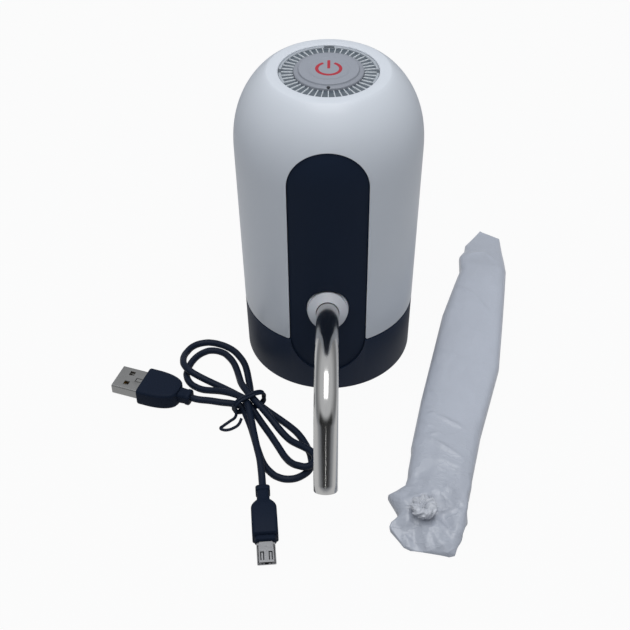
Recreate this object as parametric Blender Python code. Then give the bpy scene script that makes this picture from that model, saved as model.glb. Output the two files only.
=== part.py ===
"""Bottled water pump: it sits on a bottle's neck. Its charging lead and its bagged hose lie beside it.

Metres, +Z up. The pump's axis is the Z axis, its base stands at z = 0 and its spout points along -Y.
"""

import math

import bmesh
import bpy
from mathutils import Matrix, Vector

# Shared sizes
GAP = 0.0003
OVERRUN = 0.001
FINE_STEPS = 36
RING_STEPS = 28
ROUND_STEPS = 16
SMALL_STEPS = 10

# Body: a tapered drum under a dome
BASE_RADIUS = 0.0339
SHOULDER_RADIUS = 0.03565
SHOULDER_HEIGHT = 0.0976
BODY_HEIGHT = 0.1276
DOME_TOP_RADIUS = 0.0225
DOME_SIDE_POWER = 1.24
DOME_RISE_POWER = 2.33
DOME_STEPS = 8
SEAM_HEIGHT = 0.0248
SHELL_WALL = 0.0022
TOP_HOLE_RADIUS = 0.0186
SHELL_CORNER = 0.0015

# Front panel, a tall stadium that follows the drum
PANEL_HALF_WIDTH = 0.01465
PANEL_TOP = 0.11365
PANEL_BOTTOM = 0.0105
PANEL_RECESS = 0.0006
PANEL_THICKNESS = 0.002
PANEL_ARC_STEPS = 12

# Base housing with the cavity that takes the bottle's neck
BASE_WALL = 0.0049
NECK_RADIUS = BASE_RADIUS - BASE_WALL
CEILING_LOW = 0.0225
CEILING_HIGH = 0.0255
SPIGOT_HEIGHT = 0.0035
SPIGOT_WALL = 0.0018
BASE_EDGE = 0.0006
GASKET_WIDTH = 0.0065
GASKET_INNER_RADIUS = NECK_RADIUS - GASKET_WIDTH
GASKET_THICKNESS = 0.0022
GASKET_LIP = 0.0006

# Screws that hold the base to the shell's posts
POST_INSET = 0.0024
POST_PITCH_RADIUS = NECK_RADIUS - POST_INSET
POST_ANGLES_DEG = (60, 120, 225, 315)
POST_RADIUS = 0.003
POST_TOP = 0.040
POST_WEB = 0.002
POST_WEB_LOW = 0.0290
POST_BITE = 0.001
SCREW_RADIUS = 0.0012
SCREW_HEAD_RADIUS = 0.0026
SCREW_HEAD_HEIGHT = 0.0014
SCREW_LENGTH = 0.010
SLOT_WIDTH_SHARE = 0.3
SLOT_DEPTH_SHARE = 0.5

# Intake nipple in the middle of the cavity's ceiling
NIPPLE_BORE_RADIUS = 0.0016
NIPPLE_RADIUS = 0.0029
NIPPLE_BARB_RADIUS = 0.0033
NIPPLE_DROP = 0.0165
NIPPLE_BARBS = 3
NIPPLE_BARB_PITCH = 0.0035
NIPPLE_FLANGE_RADIUS = 0.0060
NIPPLE_FLANGE_HEIGHT = 0.0015

# Silicone tubes inside and the stubs that they push on
TUBE_RADIUS = 0.0030
TUBE_BORE_RADIUS = 0.0020
STUB_RADIUS = TUBE_BORE_RADIUS - GAP
STUB_BORE_RADIUS = 0.0010
STUB_LENGTH = 0.0045
TUBE_SIDES = 8

# Chassis plate that carries the works
CHASSIS_THICKNESS = 0.0020
CHASSIS_RIM_CLEARANCE = 0.0006
CHASSIS_HOLE_RADIUS = 0.0070
CHASSIS_BITE = 0.0005

# Battery cell and its cradle
BATTERY_X = 0.0170
BATTERY_Y = 0.0040
BATTERY_RADIUS = 0.0092
BATTERY_LENGTH = 0.0650
BATTERY_NUB_RADIUS = 0.0030
BATTERY_NUB_HEIGHT = 0.0010
BATTERY_EDGE = 0.0008
CRADLE_WALL = 0.0015
CRADLE_HEIGHT = 0.0340
CAP_WALL = 0.0012
CAP_SKIRT = 0.0050

# Pump and motor stack, bottom to top
PUMP_X = -0.0150
PUMP_Y = 0.0040
PUMP_RADIUS = 0.0120
PUMP_DROP = 0.0740
PUMP_HEAD_LOW = BODY_HEIGHT - PUMP_DROP
PUMP_HEAD_HEIGHT = 0.0100
PORT_OFFSET = 0.0045
VALVE_PLATE_THICKNESS = 0.0020
DIAPHRAGM_THICKNESS = 0.0012
DIAPHRAGM_CUPS = 3
CUP_PITCH_RADIUS = 0.0046
CUP_RADIUS = 0.0026
CUP_HEIGHT = 0.0030
PUMP_BODY_HEIGHT = 0.0160
PUMP_BODY_BORE_RADIUS = 0.0082
PUMP_BODY_TOP = 0.0020
WOBBLE_RADIUS = 0.0070
WOBBLE_THICKNESS = 0.0018
WOBBLE_PIN_RADIUS = 0.0009
WOBBLE_PIN_HEIGHT = 0.0040
WOBBLE_TILT_DEG = 8.0
WOBBLE_LIFT = 0.0013
CAM_RADIUS = 0.0055
CAM_HEIGHT = 0.0060
CAM_PIN_HOLE_RADIUS = WOBBLE_PIN_RADIUS + 2 * GAP
CAM_PIN_DEPTH = 0.0024
CAM_FLOOR = 0.0006
SHAFT_RADIUS = 0.0010
SHAFT_BORE_RADIUS = SHAFT_RADIUS + GAP
MOTOR_LENGTH = 0.0240
MOTOR_WALL = 0.0010
MOTOR_BOSS_RADIUS = 0.0030
MOTOR_BOSS_HEIGHT = 0.0021
ARMATURE_RADIUS = 0.0085
ARMATURE_LENGTH = 0.0160
ARMATURE_LIFT = 0.0025
END_CAP_THICKNESS = 0.0016
TERMINAL_WIDTH = 0.0024
TERMINAL_THICKNESS = 0.0008
TERMINAL_HEIGHT = 0.0024
TERMINAL_SPREAD = 0.0070
PUMP_SCREW_PITCH_RADIUS = 0.0100
PUMP_SCREW_RADIUS = 0.0008
PUMP_SCREW_HEAD_RADIUS = 0.0014
PUMP_SCREW_HEAD_HEIGHT = 0.0010
PUMP_SCREW_LENGTH = 0.0200
PUMP_SCREWS = 4
SHELF_THICKNESS = 0.0015
BRACKET_RISE = 0.0180

# Outlet: silicone collar, socket and spout on one rising axis
OUTLET_HEIGHT = 0.0438
OUTLET_RISE_DEG = 20.0
COLLAR_RADIUS = 0.00795
COLLAR_FACE = 0.0046
COLLAR_ROUND = 0.0024
COLLAR_BACK = 0.0094
COLLAR_LIP_RADIUS = 0.0092
COLLAR_LIP = 0.0020
SOCKET_RADIUS = 0.0066
SOCKET_LENGTH = 0.0080
SOCKET_FLOOR = 0.0015
ORING_WIRE_RADIUS = 0.0007
ORING_PLACES_SHARES = (0.35, 0.7)
ORING_SIDES = 6
SPOUT_RADIUS = 0.00425
SPOUT_WALL = 0.0006
SPOUT_STRAIGHT = 0.0340
SPOUT_EASE_RADIUS = 0.0350
SPOUT_EASE_DEG = 40.0
SPOUT_BEND_RADIUS = 0.0150
SPOUT_FALL_DEG = 63.4
SPOUT_LAST_LEG = 0.0248
SPOUT_SIDES = 16
SPOUT_BEND_STEPS = 6
SADDLE_HALF_WIDTH = 0.0050
SADDLE_LENGTH = 0.0055

# Charging board at the back, its socket and its screws
BOARD_HALF_WIDTH = 0.0088
BOARD_LOW = 0.0290
BOARD_HEIGHT = 0.0300
BOARD_THICKNESS = 0.0016
BOARD_INSET = 0.0060
BOARD_BACK = min(BASE_RADIUS, SHOULDER_RADIUS) - BOARD_INSET
BOARD_WALL = 0.0018
BOARD_HOLE_REACH = 0.0054
BOARD_SCREW_X = 0.0060
BOARD_SCREW_Z = 0.0510
BOARD_SCREW_RADIUS = 0.0008
BOARD_SCREW_HEAD_RADIUS = 0.0017
BOARD_SCREW_HEAD_HEIGHT = 0.0010
PORT_HEIGHT_Z = 0.0370
PORT_HALF_WIDTH = 0.0039
PORT_HALF_HEIGHT = 0.0015
PORT_WALL = 0.0004
PORT_DEPTH = 0.0050
PORT_TONGUE_HALF_WIDTH = 0.0020
PORT_TONGUE_HALF_HEIGHT = 0.0004
PORT_TONGUE_BACKSET = 0.0008

# Light ring, button and switch board in the dome's top
RING_SINK = 0.0004
RING_RADIUS = 0.0183
RING_RIM = 0.0014
RING_BAND_SINK = 0.0011
RING_WEB = 0.0018
RING_SLEEVE_WALL = 0.0011
RING_SLEEVE_DEPTH = 0.0075
RING_FLANGE_RADIUS = 0.0208
RING_FLANGE = 0.0020
RING_SKIRT_WALL = 0.0016
RING_SKIRT_DEPTH = 0.0125
RING_SEAT = 0.0012
BUTTON_RADIUS = 0.01285
BUTTON_RISE = 0.0007
BUTTON_EDGE = 0.0010
BUTTON_TOP_WALL = 0.0016
BUTTON_WALL = 0.0014
BUTTON_LIP = 0.0009
BUTTON_LIP_HEIGHT = 0.0010
BUTTON_TRAVEL = 0.0008
BUTTON_POST_RADIUS = 0.0018
SWITCH_BOARD_THICKNESS = 0.0016
SWITCH_HALF_WIDTH = 0.0030
SWITCH_HEIGHT = 0.0034
PLUNGER_RADIUS = 0.0017
PLUNGER_HEIGHT = 0.0016
LED_COUNT = 4
LED_SIZE = 0.0018
LED_HEIGHT = 0.0009
SPRING_RADIUS = 0.0066
SPRING_WIRE_RADIUS = 0.0004
SPRING_TURNS = 4
SPRING_TURN_POINTS = 10

# Wires between the battery, the boards and the motor
WIRE_RADIUS = 0.00055
WIRE_SPACING = 0.0020

# Charging lead: USB-A plug, cable and micro-USB plug
LEAD_RADIUS = 0.0014
LEAD_STEP = 0.0038
USB_TIP = (-0.0852, -0.0331)
USB_HEADING_DEG = -18.5
USB_CENTRE_Z = 0.0040
USB_SHELL_HALF_WIDTH = 0.0060
USB_SHELL_HALF_HEIGHT = 0.00225
USB_SHELL_WALL = 0.0004
USB_SHELL_LENGTH = 0.0110
USB_SHELL_FLOOR = 0.0010
USB_WINDOW = 0.0022
USB_WINDOW_OFFSET = 0.0028
USB_WINDOW_SETBACK = 0.0052
USB_TONGUE_HALF_WIDTH = 0.0052
USB_TONGUE_THICKNESS = 0.0018
USB_TONGUE_SETBACK = 0.0010
USB_GRIP_HALF_WIDTH = 0.0074
USB_GRIP_HALF_HEIGHT = 0.0039
USB_GRIP_LENGTH = 0.0160
USB_GRIP_STRAIGHT = 0.0045
USB_RELIEF_HALF_WIDTH = 0.0029
USB_RELIEF_HALF_HEIGHT = 0.0026
USB_RELIEF_LENGTH = 0.0050
USB_GRIP_PLACE_SHARES = (0.06, 0.28, 0.5, 0.7, 0.85, 0.96, 1.0)
USB_FLANGE_PLACE_SHARE = 0.7
USB_FLANGE_RISE = 0.0004
MICRO_TIP = (-0.0204, -0.1238)
MICRO_HEADING_DEG = 95.4
MICRO_CENTRE_Z = 0.0036
MICRO_SHELL_HALF_WIDTH = 0.0034
MICRO_SHELL_HALF_HEIGHT = 0.0010
MICRO_SHELL_WALL = 0.0003
MICRO_SHELL_LENGTH = 0.0088
MICRO_SHELL_FLOOR = 0.0010
MICRO_LIP_HALF_WIDTH = 0.0042
MICRO_LIP_HALF_HEIGHT = 0.0019
MICRO_LIP_LENGTH = 0.0020
MICRO_GRIP_HALF_WIDTH = 0.0047
MICRO_GRIP_HALF_HEIGHT = 0.0035
MICRO_GRIP_LENGTH = 0.0130
MICRO_TAPER_LENGTH = 0.0035
MICRO_RELIEF_HALF_WIDTH = 0.0024
MICRO_RELIEF_LENGTH = 0.0065
GRIP_ROUND = 0.0008
GRIP_LEAD_IN = 0.0004

# The lead's route, chosen by hand: round each lobe and back through the waist, five strands in all
LEAD_IN = (
    (-0.0468, -0.0441, 0.0031), (-0.0422, -0.0446, 0.0027), (-0.0385, -0.0451, 0.0027),
    (-0.0362, -0.0459, 0.0028),
)
OUTER_LOBE = (
    (-0.0320, -0.0514, 0.0022), (-0.0298, -0.0572, 0.0015), (-0.0279, -0.0640, 0.0015),
    (-0.0260, -0.0706, 0.0015), (-0.0234, -0.0771, 0.0015), (-0.0189, -0.0821, 0.0015),
    (-0.0140, -0.0834, 0.0015), (-0.0092, -0.0816, 0.0015), (-0.0060, -0.0773, 0.0015),
    (-0.0061, -0.0719, 0.0015), (-0.0085, -0.0652, 0.0015), (-0.0120, -0.0593, 0.0015),
    (-0.0172, -0.0539, 0.0015), (-0.0231, -0.0489, 0.0019),
)
OUTER_TURN = (
    (-0.0310, -0.0386, 0.0020), (-0.0316, -0.0346, 0.0015), (-0.0326, -0.0292, 0.0015),
    (-0.0348, -0.0207, 0.0015), (-0.0398, -0.0130, 0.0015), (-0.0461, -0.0091, 0.0015),
    (-0.0518, -0.0082, 0.0015), (-0.0566, -0.0102, 0.0015), (-0.0594, -0.0150, 0.0020),
    (-0.0600, -0.0206, 0.0036), (-0.0589, -0.0256, 0.0048), (-0.0558, -0.0293, 0.0048),
    (-0.0501, -0.0320, 0.0032), (-0.0442, -0.0341, 0.0015), (-0.0393, -0.0373, 0.0016),
    (-0.0350, -0.0412, 0.0024),
)
INNER_LOBE = (
    (-0.0282, -0.0505, 0.0020), (-0.0254, -0.0552, 0.0015), (-0.0221, -0.0609, 0.0015),
    (-0.0187, -0.0672, 0.0015), (-0.0159, -0.0727, 0.0019), (-0.0130, -0.0773, 0.0035),
    (-0.0106, -0.0795, 0.0048), (-0.0076, -0.0800, 0.0048), (-0.0052, -0.0783, 0.0048),
    (-0.0044, -0.0755, 0.0048), (-0.0056, -0.0727, 0.0048), (-0.0089, -0.0696, 0.0043),
    (-0.0140, -0.0646, 0.0024), (-0.0182, -0.0596, 0.0027), (-0.0219, -0.0549, 0.0042),
    (-0.0258, -0.0502, 0.0055),
)
INNER_TURN = (
    (-0.0332, -0.0394, 0.0054), (-0.0352, -0.0342, 0.0036), (-0.0367, -0.0278, 0.0017),
    (-0.0393, -0.0203, 0.0015), (-0.0439, -0.0145, 0.0015), (-0.0494, -0.0131, 0.0015),
    (-0.0543, -0.0162, 0.0015), (-0.0573, -0.0220, 0.0015), (-0.0580, -0.0284, 0.0015),
    (-0.0558, -0.0330, 0.0015), (-0.0508, -0.0363, 0.0016), (-0.0443, -0.0388, 0.0034),
    (-0.0384, -0.0423, 0.0056),
)
LEAD_OUT = (
    (-0.0304, -0.0532, 0.0056), (-0.0288, -0.0607, 0.0049), (-0.0269, -0.0696, 0.0047),
    (-0.0252, -0.0769, 0.0047),
)

# Wire tie round the lead's waist
TIE_WIRE_RADIUS = 0.0005
TIE_TURNS = 2
TIE_PITCH = 0.0013
TIE_TURN_POINTS = 12
TIE_SQUARE_POWER = 4
TIE_SLACK = 0.0011
TIE_SHIFT = 0.0008
TIE_TAIL = (
    (-0.0363, -0.0519, 0.0022), (-0.0385, -0.0535, 0.0012), (-0.0410, -0.0557, 0.0008),
    (-0.0419, -0.0569, 0.0008), (-0.0409, -0.0577, 0.0008), (-0.0391, -0.0578, 0.0008),
    (-0.0368, -0.0567, 0.0008), (-0.0349, -0.0549, 0.0010), (-0.0339, -0.0527, 0.0020),
)
WAIST = (-0.0315, -0.0456)
WAIST_ACROSS_DEG = 30.0
WAIST_STRAND_STEP = 0.00155
WAIST_LAYER_RISE = 0.0033
WAIST_HEIGHT = 0.0030

# Film bag that lies beside the pump, gathered and knotted at its mouth
BAG_HEAD = (0.0745, 0.0660)
BAG_MOUTH = (0.0402, -0.0985)
BAG_WALL = 0.0005
BAG_SIDES = 16
BAG_WIDTH = 0.0262
BAG_HEIGHT = 0.0110
BAG_LENGTH_SHARES = (0.0, 0.03, 0.12, 0.35, 0.65, 0.9, 0.96)
BAG_WIDTH_SHARES = (0.30, 0.50, 0.78, 0.95, 1.0, 1.0, 0.94)
BAG_HEIGHT_SHARES = (0.25, 0.55, 0.95, 1.0, 1.0, 1.0, 0.92)
BAG_SQUARE_POWER = 3.4
TAIL_LENGTH = 0.0180
TAIL_LENGTH_SHARES = (0.0, 0.25, 0.5, 0.75, 1.0)
TAIL_WIDTH_SHARES = (0.80, 0.96, 1.0, 0.86, 0.62)
TAIL_HEIGHT_SHARES = (0.80, 0.92, 0.72, 0.58, 0.34)
KNOT_RADIUS = 0.0045
KNOT_HEIGHT = 0.0110
KNOT_DEPTH = 0.0020
KNOT_PLACE_SHARE = 0.35
KNOT_SIDE_SHARE = 0.18

# Suction hose, folded to and fro in the bag
HOSE_RADIUS = 0.0035
HOSE_BORE_RADIUS = 0.0025
HOSE_RUN_PITCH = 0.0074
HOSE_RUNS = 3
HOSE_BEND_STEPS = 6
HOSE_SIDES = 8
HOSE_START_SHARE = 0.30
HOSE_END_SHARE = 0.91


def clear_scene():
    for item in list(bpy.data.objects):
        bpy.data.objects.remove(item)


def material(name, colour, roughness, metallic=0.0, alpha=1.0):
    made = bpy.data.materials.new(name)
    made.use_nodes = True
    shader = made.node_tree.nodes["Principled BSDF"]
    shader.inputs["Base Color"].default_value = (*colour, 1.0)
    shader.inputs["Roughness"].default_value = roughness
    shader.inputs["Metallic"].default_value = metallic
    shader.inputs["Alpha"].default_value = alpha
    return made


def make_materials():
    return {
        "shell": material("white_shell", (0.62, 0.64, 0.67), 0.38),
        "black": material("black_plastic", (0.010, 0.012, 0.020), 0.50),
        "frame": material("grey_frame", (0.25, 0.26, 0.28), 0.6),
        "silicone": material("white_silicone", (0.58, 0.60, 0.66), 0.45),
        "steel": material("polished_steel", (0.62, 0.61, 0.60), 0.08, 1.0),
        "plate": material("plated_steel", (0.70, 0.69, 0.66), 0.25, 1.0),
        "ring": material("clear_ring", (0.45, 0.47, 0.48), 0.2, 0.0, 0.7),
        "button": material("grey_button", (0.33, 0.34, 0.40), 0.45),
        "board": material("green_board", (0.02, 0.15, 0.06), 0.5),
        "cell": material("blue_sleeve", (0.05, 0.15, 0.40), 0.35),
        "rubber": material("black_rubber", (0.015, 0.015, 0.017), 0.7),
        "tongue": material("white_tongue", (0.7, 0.7, 0.7), 0.5),
        "red": material("red_wire", (0.5, 0.02, 0.02), 0.4),
        "led": material("led_lens", (0.8, 0.8, 0.6), 0.2),
        "film": material("milky_film", (0.40, 0.43, 0.50), 0.35, 0.0, 0.8),
    }


def mesh_object(name, shape, look):
    """An object with the bmesh's faces turned outwards."""
    bmesh.ops.recalc_face_normals(shape, faces=shape.faces)
    mesh = bpy.data.meshes.new(name)
    shape.to_mesh(mesh)
    shape.free()
    mesh.materials.append(look)
    made = bpy.data.objects.new(name, mesh)
    bpy.context.scene.collection.objects.link(made)
    mesh.shade_smooth()
    mesh.set_sharp_from_angle(angle=math.radians(35))
    return made


def turned(name, outline, look, steps=ROUND_STEPS, centre=(0, 0)):
    """Turns a closed outline of (radius, height) points about Z, with its origin on that axis."""
    shape = bmesh.new()
    points = [shape.verts.new((radius, 0, height)) for radius, height in outline]
    for first, second in zip(points, points[1:] + points[:1]):
        if first.co.x > 0 or second.co.x > 0:
            shape.edges.new((first, second))
    bmesh.ops.spin(
        shape, geom=shape.verts[:] + shape.edges[:], cent=(0, 0, 0), axis=(0, 0, 1),
        angle=math.tau, steps=steps, use_merge=True,
    )
    bmesh.ops.remove_doubles(shape, verts=shape.verts, dist=GAP / 100)
    made = mesh_object(name, shape, look)
    made.location = (*centre, 0)
    return made


def prism(name, outline, low, high, look):
    """Extrudes a closed outline of (x, y) points along local Z."""
    shape = bmesh.new()
    bottom = shape.faces.new([shape.verts.new((x, y, low)) for x, y in outline])
    raised = bmesh.ops.extrude_face_region(shape, geom=[bottom])
    top = [item for item in raised["geom"] if isinstance(item, bmesh.types.BMVert)]
    bmesh.ops.translate(shape, verts=top, vec=(0, 0, high - low))
    return mesh_object(name, shape, look)


def block(name, low, high, look):
    """A box between two corners."""
    (x0, y0, z0), (x1, y1, z1) = low, high
    return prism(name, [(x0, y0), (x1, y0), (x1, y1), (x0, y1)], z0, z1, look)


def lofted(name, rings, look):
    """Skins rings of equally many points and closes both ends with flat caps."""
    shape = bmesh.new()
    loops = [[shape.verts.new(point) for point in ring] for ring in rings]
    count = len(loops[0])
    for lower, upper in zip(loops, loops[1:]):
        for place in range(count):
            after = (place + 1) % count
            shape.faces.new((lower[place], lower[after], upper[after], upper[place]))
    shape.faces.new(loops[0])
    shape.faces.new(loops[-1])
    return mesh_object(name, shape, look)


def hollow_loft(name, outer, inner, look, closed_start=False):
    """Skins outer and inner rings into one wall, open at its end and, unless closed, at its start."""
    rings = outer + inner[::-1]
    shape = bmesh.new()
    loops = [[shape.verts.new(point) for point in ring] for ring in rings]
    count = len(loops[0])
    pairs = list(zip(loops, loops[1:]))
    if not closed_start:
        pairs.append((loops[-1], loops[0]))
    for lower, upper in pairs:
        for place in range(count):
            after = (place + 1) % count
            shape.faces.new((lower[place], lower[after], upper[after], upper[place]))
    if closed_start:
        shape.faces.new(loops[0])
        shape.faces.new(loops[-1])
    return mesh_object(name, shape, look)


def smooth_route(points, step):
    """Points about a step apart on a Catmull-Rom curve through the given points."""
    route = [Vector(point) for point in points]
    padded = [2 * route[0] - route[1], *route, 2 * route[-1] - route[-2]]
    fine = []
    for before, start, end, after in zip(padded, padded[1:], padded[2:], padded[3:]):
        pieces = max(1, round((end - start).length / step))
        for piece in range(pieces):
            t = piece / pieces
            fine.append(0.5 * (
                2 * start + (end - before) * t
                + (2 * before - 5 * start + 4 * end - after) * t * t
                + (3 * start - before - 3 * end + after) * t * t * t
            ))
    fine.append(route[-1])
    return fine


def rings_along(route, radius, sides):
    """Rings square to a route, carried along it without twist."""
    rings = []
    side = None
    for place, point in enumerate(route):
        before = route[max(place - 1, 0)]
        after = route[min(place + 1, len(route) - 1)]
        forward = (after - before).normalized()
        if side is None:
            side = forward.orthogonal().normalized()
        side = (side - forward * side.dot(forward)).normalized()
        up = forward.cross(side)
        rings.append([
            point + radius * (math.cos(math.tau * k / sides) * side + math.sin(math.tau * k / sides) * up)
            for k in range(sides)
        ])
    return rings


def hollow_tube(name, route, radius, bore_radius, sides, look):
    outer = rings_along(route, radius, sides)
    inner = rings_along(route, bore_radius, sides)
    return hollow_loft(name, outer, inner, look)


def tube_curve(name, points, radius, look, fineness=1):
    """A round tube along points, as a curve with a bevel and filled caps."""
    curve = bpy.data.curves.new(name, "CURVE")
    curve.dimensions = "3D"
    curve.bevel_depth = radius
    curve.bevel_resolution = fineness
    curve.use_fill_caps = True
    spline = curve.splines.new("POLY")
    spline.points.add(len(points) - 1)
    for target, point in zip(spline.points, points):
        target.co = (*point, 1.0)
    curve.materials.append(look)
    made = bpy.data.objects.new(name, curve)
    bpy.context.scene.collection.objects.link(made)
    return made


def as_helper(made):
    made.hide_render = True
    made.display_type = "WIRE"
    return made


def combine(target, other, operation):
    change = target.modifiers.new(operation.title(), "BOOLEAN")
    change.operation = operation
    change.object = as_helper(other)
    return target


def cut(target, *cutters):
    for cutter in cutters:
        combine(target, cutter, "DIFFERENCE")
    return target


def join(target, *others):
    for other in others:
        combine(target, other, "UNION")
    return target


def cylinder(name, radius, low, high, look, centre=(0, 0), steps=ROUND_STEPS):
    return turned(name, [(0, low), (radius, low), (radius, high), (0, high)], look, steps, centre)


def arc(centre, radius, start_deg, end_deg, steps):
    """Points on an arc in a plane, both ends included."""
    turns = [math.radians(start_deg + (end_deg - start_deg) * k / steps) for k in range(steps + 1)]
    return [(centre[0] + radius * math.cos(t), centre[1] + radius * math.sin(t)) for t in turns]


def polar(radius, degrees):
    return radius * math.cos(math.radians(degrees)), radius * math.sin(math.radians(degrees))


def wall_radius(height, inset=0.0):
    """Radius of the drum's wall at a height, or of the surface this far inside it."""
    share = height / SHOULDER_HEIGHT
    return BASE_RADIUS + (SHOULDER_RADIUS - BASE_RADIUS) * share - inset


def body_line(low, inset, steps=DOME_STEPS):
    """The body's side from a low height up to the flat of the dome, set in by an inset."""
    side = SHOULDER_RADIUS - inset - DOME_TOP_RADIUS
    rise = BODY_HEIGHT - inset - SHOULDER_HEIGHT
    points = [(wall_radius(low, inset), low)]
    for step in range(steps + 1):
        turn = math.pi / 2 * step / steps
        radius = DOME_TOP_RADIUS + side * max(math.cos(turn), 0) ** (2 / DOME_SIDE_POWER)
        points.append((radius, SHOULDER_HEIGHT + rise * math.sin(turn) ** (2 / DOME_RISE_POWER)))
    return points


def body_shell(name, low, outer_inset, inner_inset, top_radius, look):
    """A turned wall between two insets of the body's outline, open at the bottom and round the top hole."""
    outer = body_line(low, outer_inset)
    inner = body_line(low, inner_inset, DOME_STEPS // 2)
    outline = outer + [(top_radius, outer[-1][1]), (top_radius, inner[-1][1])] + inner[::-1]
    return turned(name, outline, look, FINE_STEPS)


def stadium(clearance):
    """The front panel's outline seen from the front, grown by a clearance."""
    half = PANEL_HALF_WIDTH + clearance
    top = arc((0, PANEL_TOP - PANEL_HALF_WIDTH), half, 0, 180, PANEL_ARC_STEPS)
    bottom = arc((0, PANEL_BOTTOM + PANEL_HALF_WIDTH), half, 180, 360, PANEL_ARC_STEPS)
    return top + bottom


def widest():
    """A reach past the drum's wall at every height."""
    return max(BASE_RADIUS, SHOULDER_RADIUS) + OVERRUN


def front_prism(name, outline, look):
    """An outline of (x, z) points pushed through the front half of the body."""
    made = prism(name, outline, 0, widest(), look)
    made.rotation_euler = (math.pi / 2, 0, 0)
    return made


def shell_slot_outline():
    """The slot in the shell: the panel's upper part, flared where the shell's lower corners are rounded."""
    half = PANEL_HALF_WIDTH + GAP
    low = SEAM_HEIGHT
    right = arc((half + SHELL_CORNER, low + SHELL_CORNER), SHELL_CORNER, 270, 180, SMALL_STEPS // 2)
    top = arc((0, PANEL_TOP - PANEL_HALF_WIDTH), half, 0, 180, PANEL_ARC_STEPS)
    left = [(-x, z) for x, z in right[::-1]]
    foot = half + SHELL_CORNER
    return right + top + left + [(-foot, low - OVERRUN), (foot, low - OVERRUN)]


def port_outline(half_width, half_height, clearance):
    wide, tall = half_width + clearance, half_height + clearance
    return [(-wide, -tall), (wide, -tall), (wide, tall), (-wide, tall)]


def outlet_frame():
    """Where the outlet's axis meets the panel, and the turn that takes +Z to that axis."""
    front = wall_radius(OUTLET_HEIGHT, PANEL_RECESS)
    turn = Matrix.Rotation(math.radians(90 - OUTLET_RISE_DEG), 4, "X")
    return Matrix.Translation((0, -front, OUTLET_HEIGHT)) @ turn


def on_outlet(made):
    made.matrix_world = outlet_frame()
    return made


def outlet_cylinder(name, radius, low, high, look):
    return on_outlet(cylinder(name, radius, low, high, look))


def make_shell(looks):
    shell = body_shell("outer_shell", SEAM_HEIGHT, 0, SHELL_WALL, TOP_HOLE_RADIUS, looks["shell"])
    for number, angle in enumerate(POST_ANGLES_DEG, 1):
        centre = polar(POST_PITCH_RADIUS, angle)
        low = CEILING_HIGH + GAP
        post = cylinder(f"post_{number}", POST_RADIUS, low, POST_TOP, looks["shell"], centre, SMALL_STEPS)
        reach = wall_radius(POST_WEB_LOW, SHELL_WALL - POST_BITE)
        web = block(
            f"post_web_{number}", (POST_PITCH_RADIUS, -POST_WEB / 2, POST_WEB_LOW),
            (reach, POST_WEB / 2, POST_TOP - POST_BITE), looks["shell"],
        )
        web.rotation_euler = (0, 0, math.radians(angle))
        hole_top = CEILING_HIGH + SCREW_LENGTH
        hole = cylinder(
            f"post_hole_{number}", SCREW_RADIUS + GAP, low - OVERRUN, hole_top, looks["shell"],
            centre, SMALL_STEPS,
        )
        join(shell, post, web)
        cut(shell, hole)
    slot = front_prism("shell_slot", shell_slot_outline(), looks["shell"])
    opening = port_outline(PORT_HALF_WIDTH, PORT_HALF_HEIGHT, 2 * GAP)
    port = prism("shell_port", opening, 0, widest(), looks["shell"])
    port.location = (0, 0, PORT_HEIGHT_Z)
    port.rotation_euler = (-math.pi / 2, 0, 0)
    cut(shell, slot, port)


def make_panel(looks):
    back = PANEL_RECESS + PANEL_THICKNESS
    low = PANEL_BOTTOM - OVERRUN
    inner = DOME_TOP_RADIUS - OVERRUN
    panel = body_shell("front_panel", low, PANEL_RECESS, back, inner, looks["black"])
    combine(panel, front_prism("panel_outline", stadium(0), looks["black"]), "INTERSECT")
    hole = outlet_cylinder(
        "panel_hole", COLLAR_RADIUS + GAP, -COLLAR_BACK - OVERRUN, COLLAR_BACK, looks["black"],
    )
    cut(panel, hole)


def make_base(looks):
    seat = SEAM_HEIGHT - GAP
    spigot = wall_radius(SEAM_HEIGHT, SHELL_WALL + GAP)
    spigot_top = seat + SPIGOT_HEIGHT
    nipple_hole = NIPPLE_BARB_RADIUS + GAP
    outline = [
        (NECK_RADIUS + BASE_EDGE, 0), (BASE_RADIUS - BASE_EDGE, 0), (BASE_RADIUS, BASE_EDGE),
        (wall_radius(seat), seat), (spigot, seat), (spigot, spigot_top),
        (spigot - SPIGOT_WALL, spigot_top), (spigot - SPIGOT_WALL, CEILING_HIGH),
        (nipple_hole, CEILING_HIGH), (nipple_hole, CEILING_LOW), (NECK_RADIUS, CEILING_LOW),
        (NECK_RADIUS, BASE_EDGE),
    ]
    base = turned("base_housing", outline, looks["black"], FINE_STEPS)
    pocket = body_shell(
        "panel_pocket", PANEL_BOTTOM - 2 * OVERRUN, -OVERRUN, PANEL_RECESS + PANEL_THICKNESS + GAP,
        DOME_TOP_RADIUS - OVERRUN, looks["black"],
    )
    combine(pocket, front_prism("pocket_outline", stadium(GAP), looks["black"]), "INTERSECT")
    cut(base, pocket)
    for number, angle in enumerate(POST_ANGLES_DEG, 1):
        centre = polar(POST_PITCH_RADIUS, angle)
        head_top = CEILING_LOW + SCREW_HEAD_HEIGHT + GAP
        stepped = [
            (0, CEILING_LOW - OVERRUN), (SCREW_HEAD_RADIUS + GAP, CEILING_LOW - OVERRUN),
            (SCREW_HEAD_RADIUS + GAP, head_top), (SCREW_RADIUS + GAP, head_top),
            (SCREW_RADIUS + GAP, CEILING_HIGH + OVERRUN), (0, CEILING_HIGH + OVERRUN),
        ]
        cut(base, turned(f"screw_pocket_{number}", stepped, looks["black"], SMALL_STEPS, centre))


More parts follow.
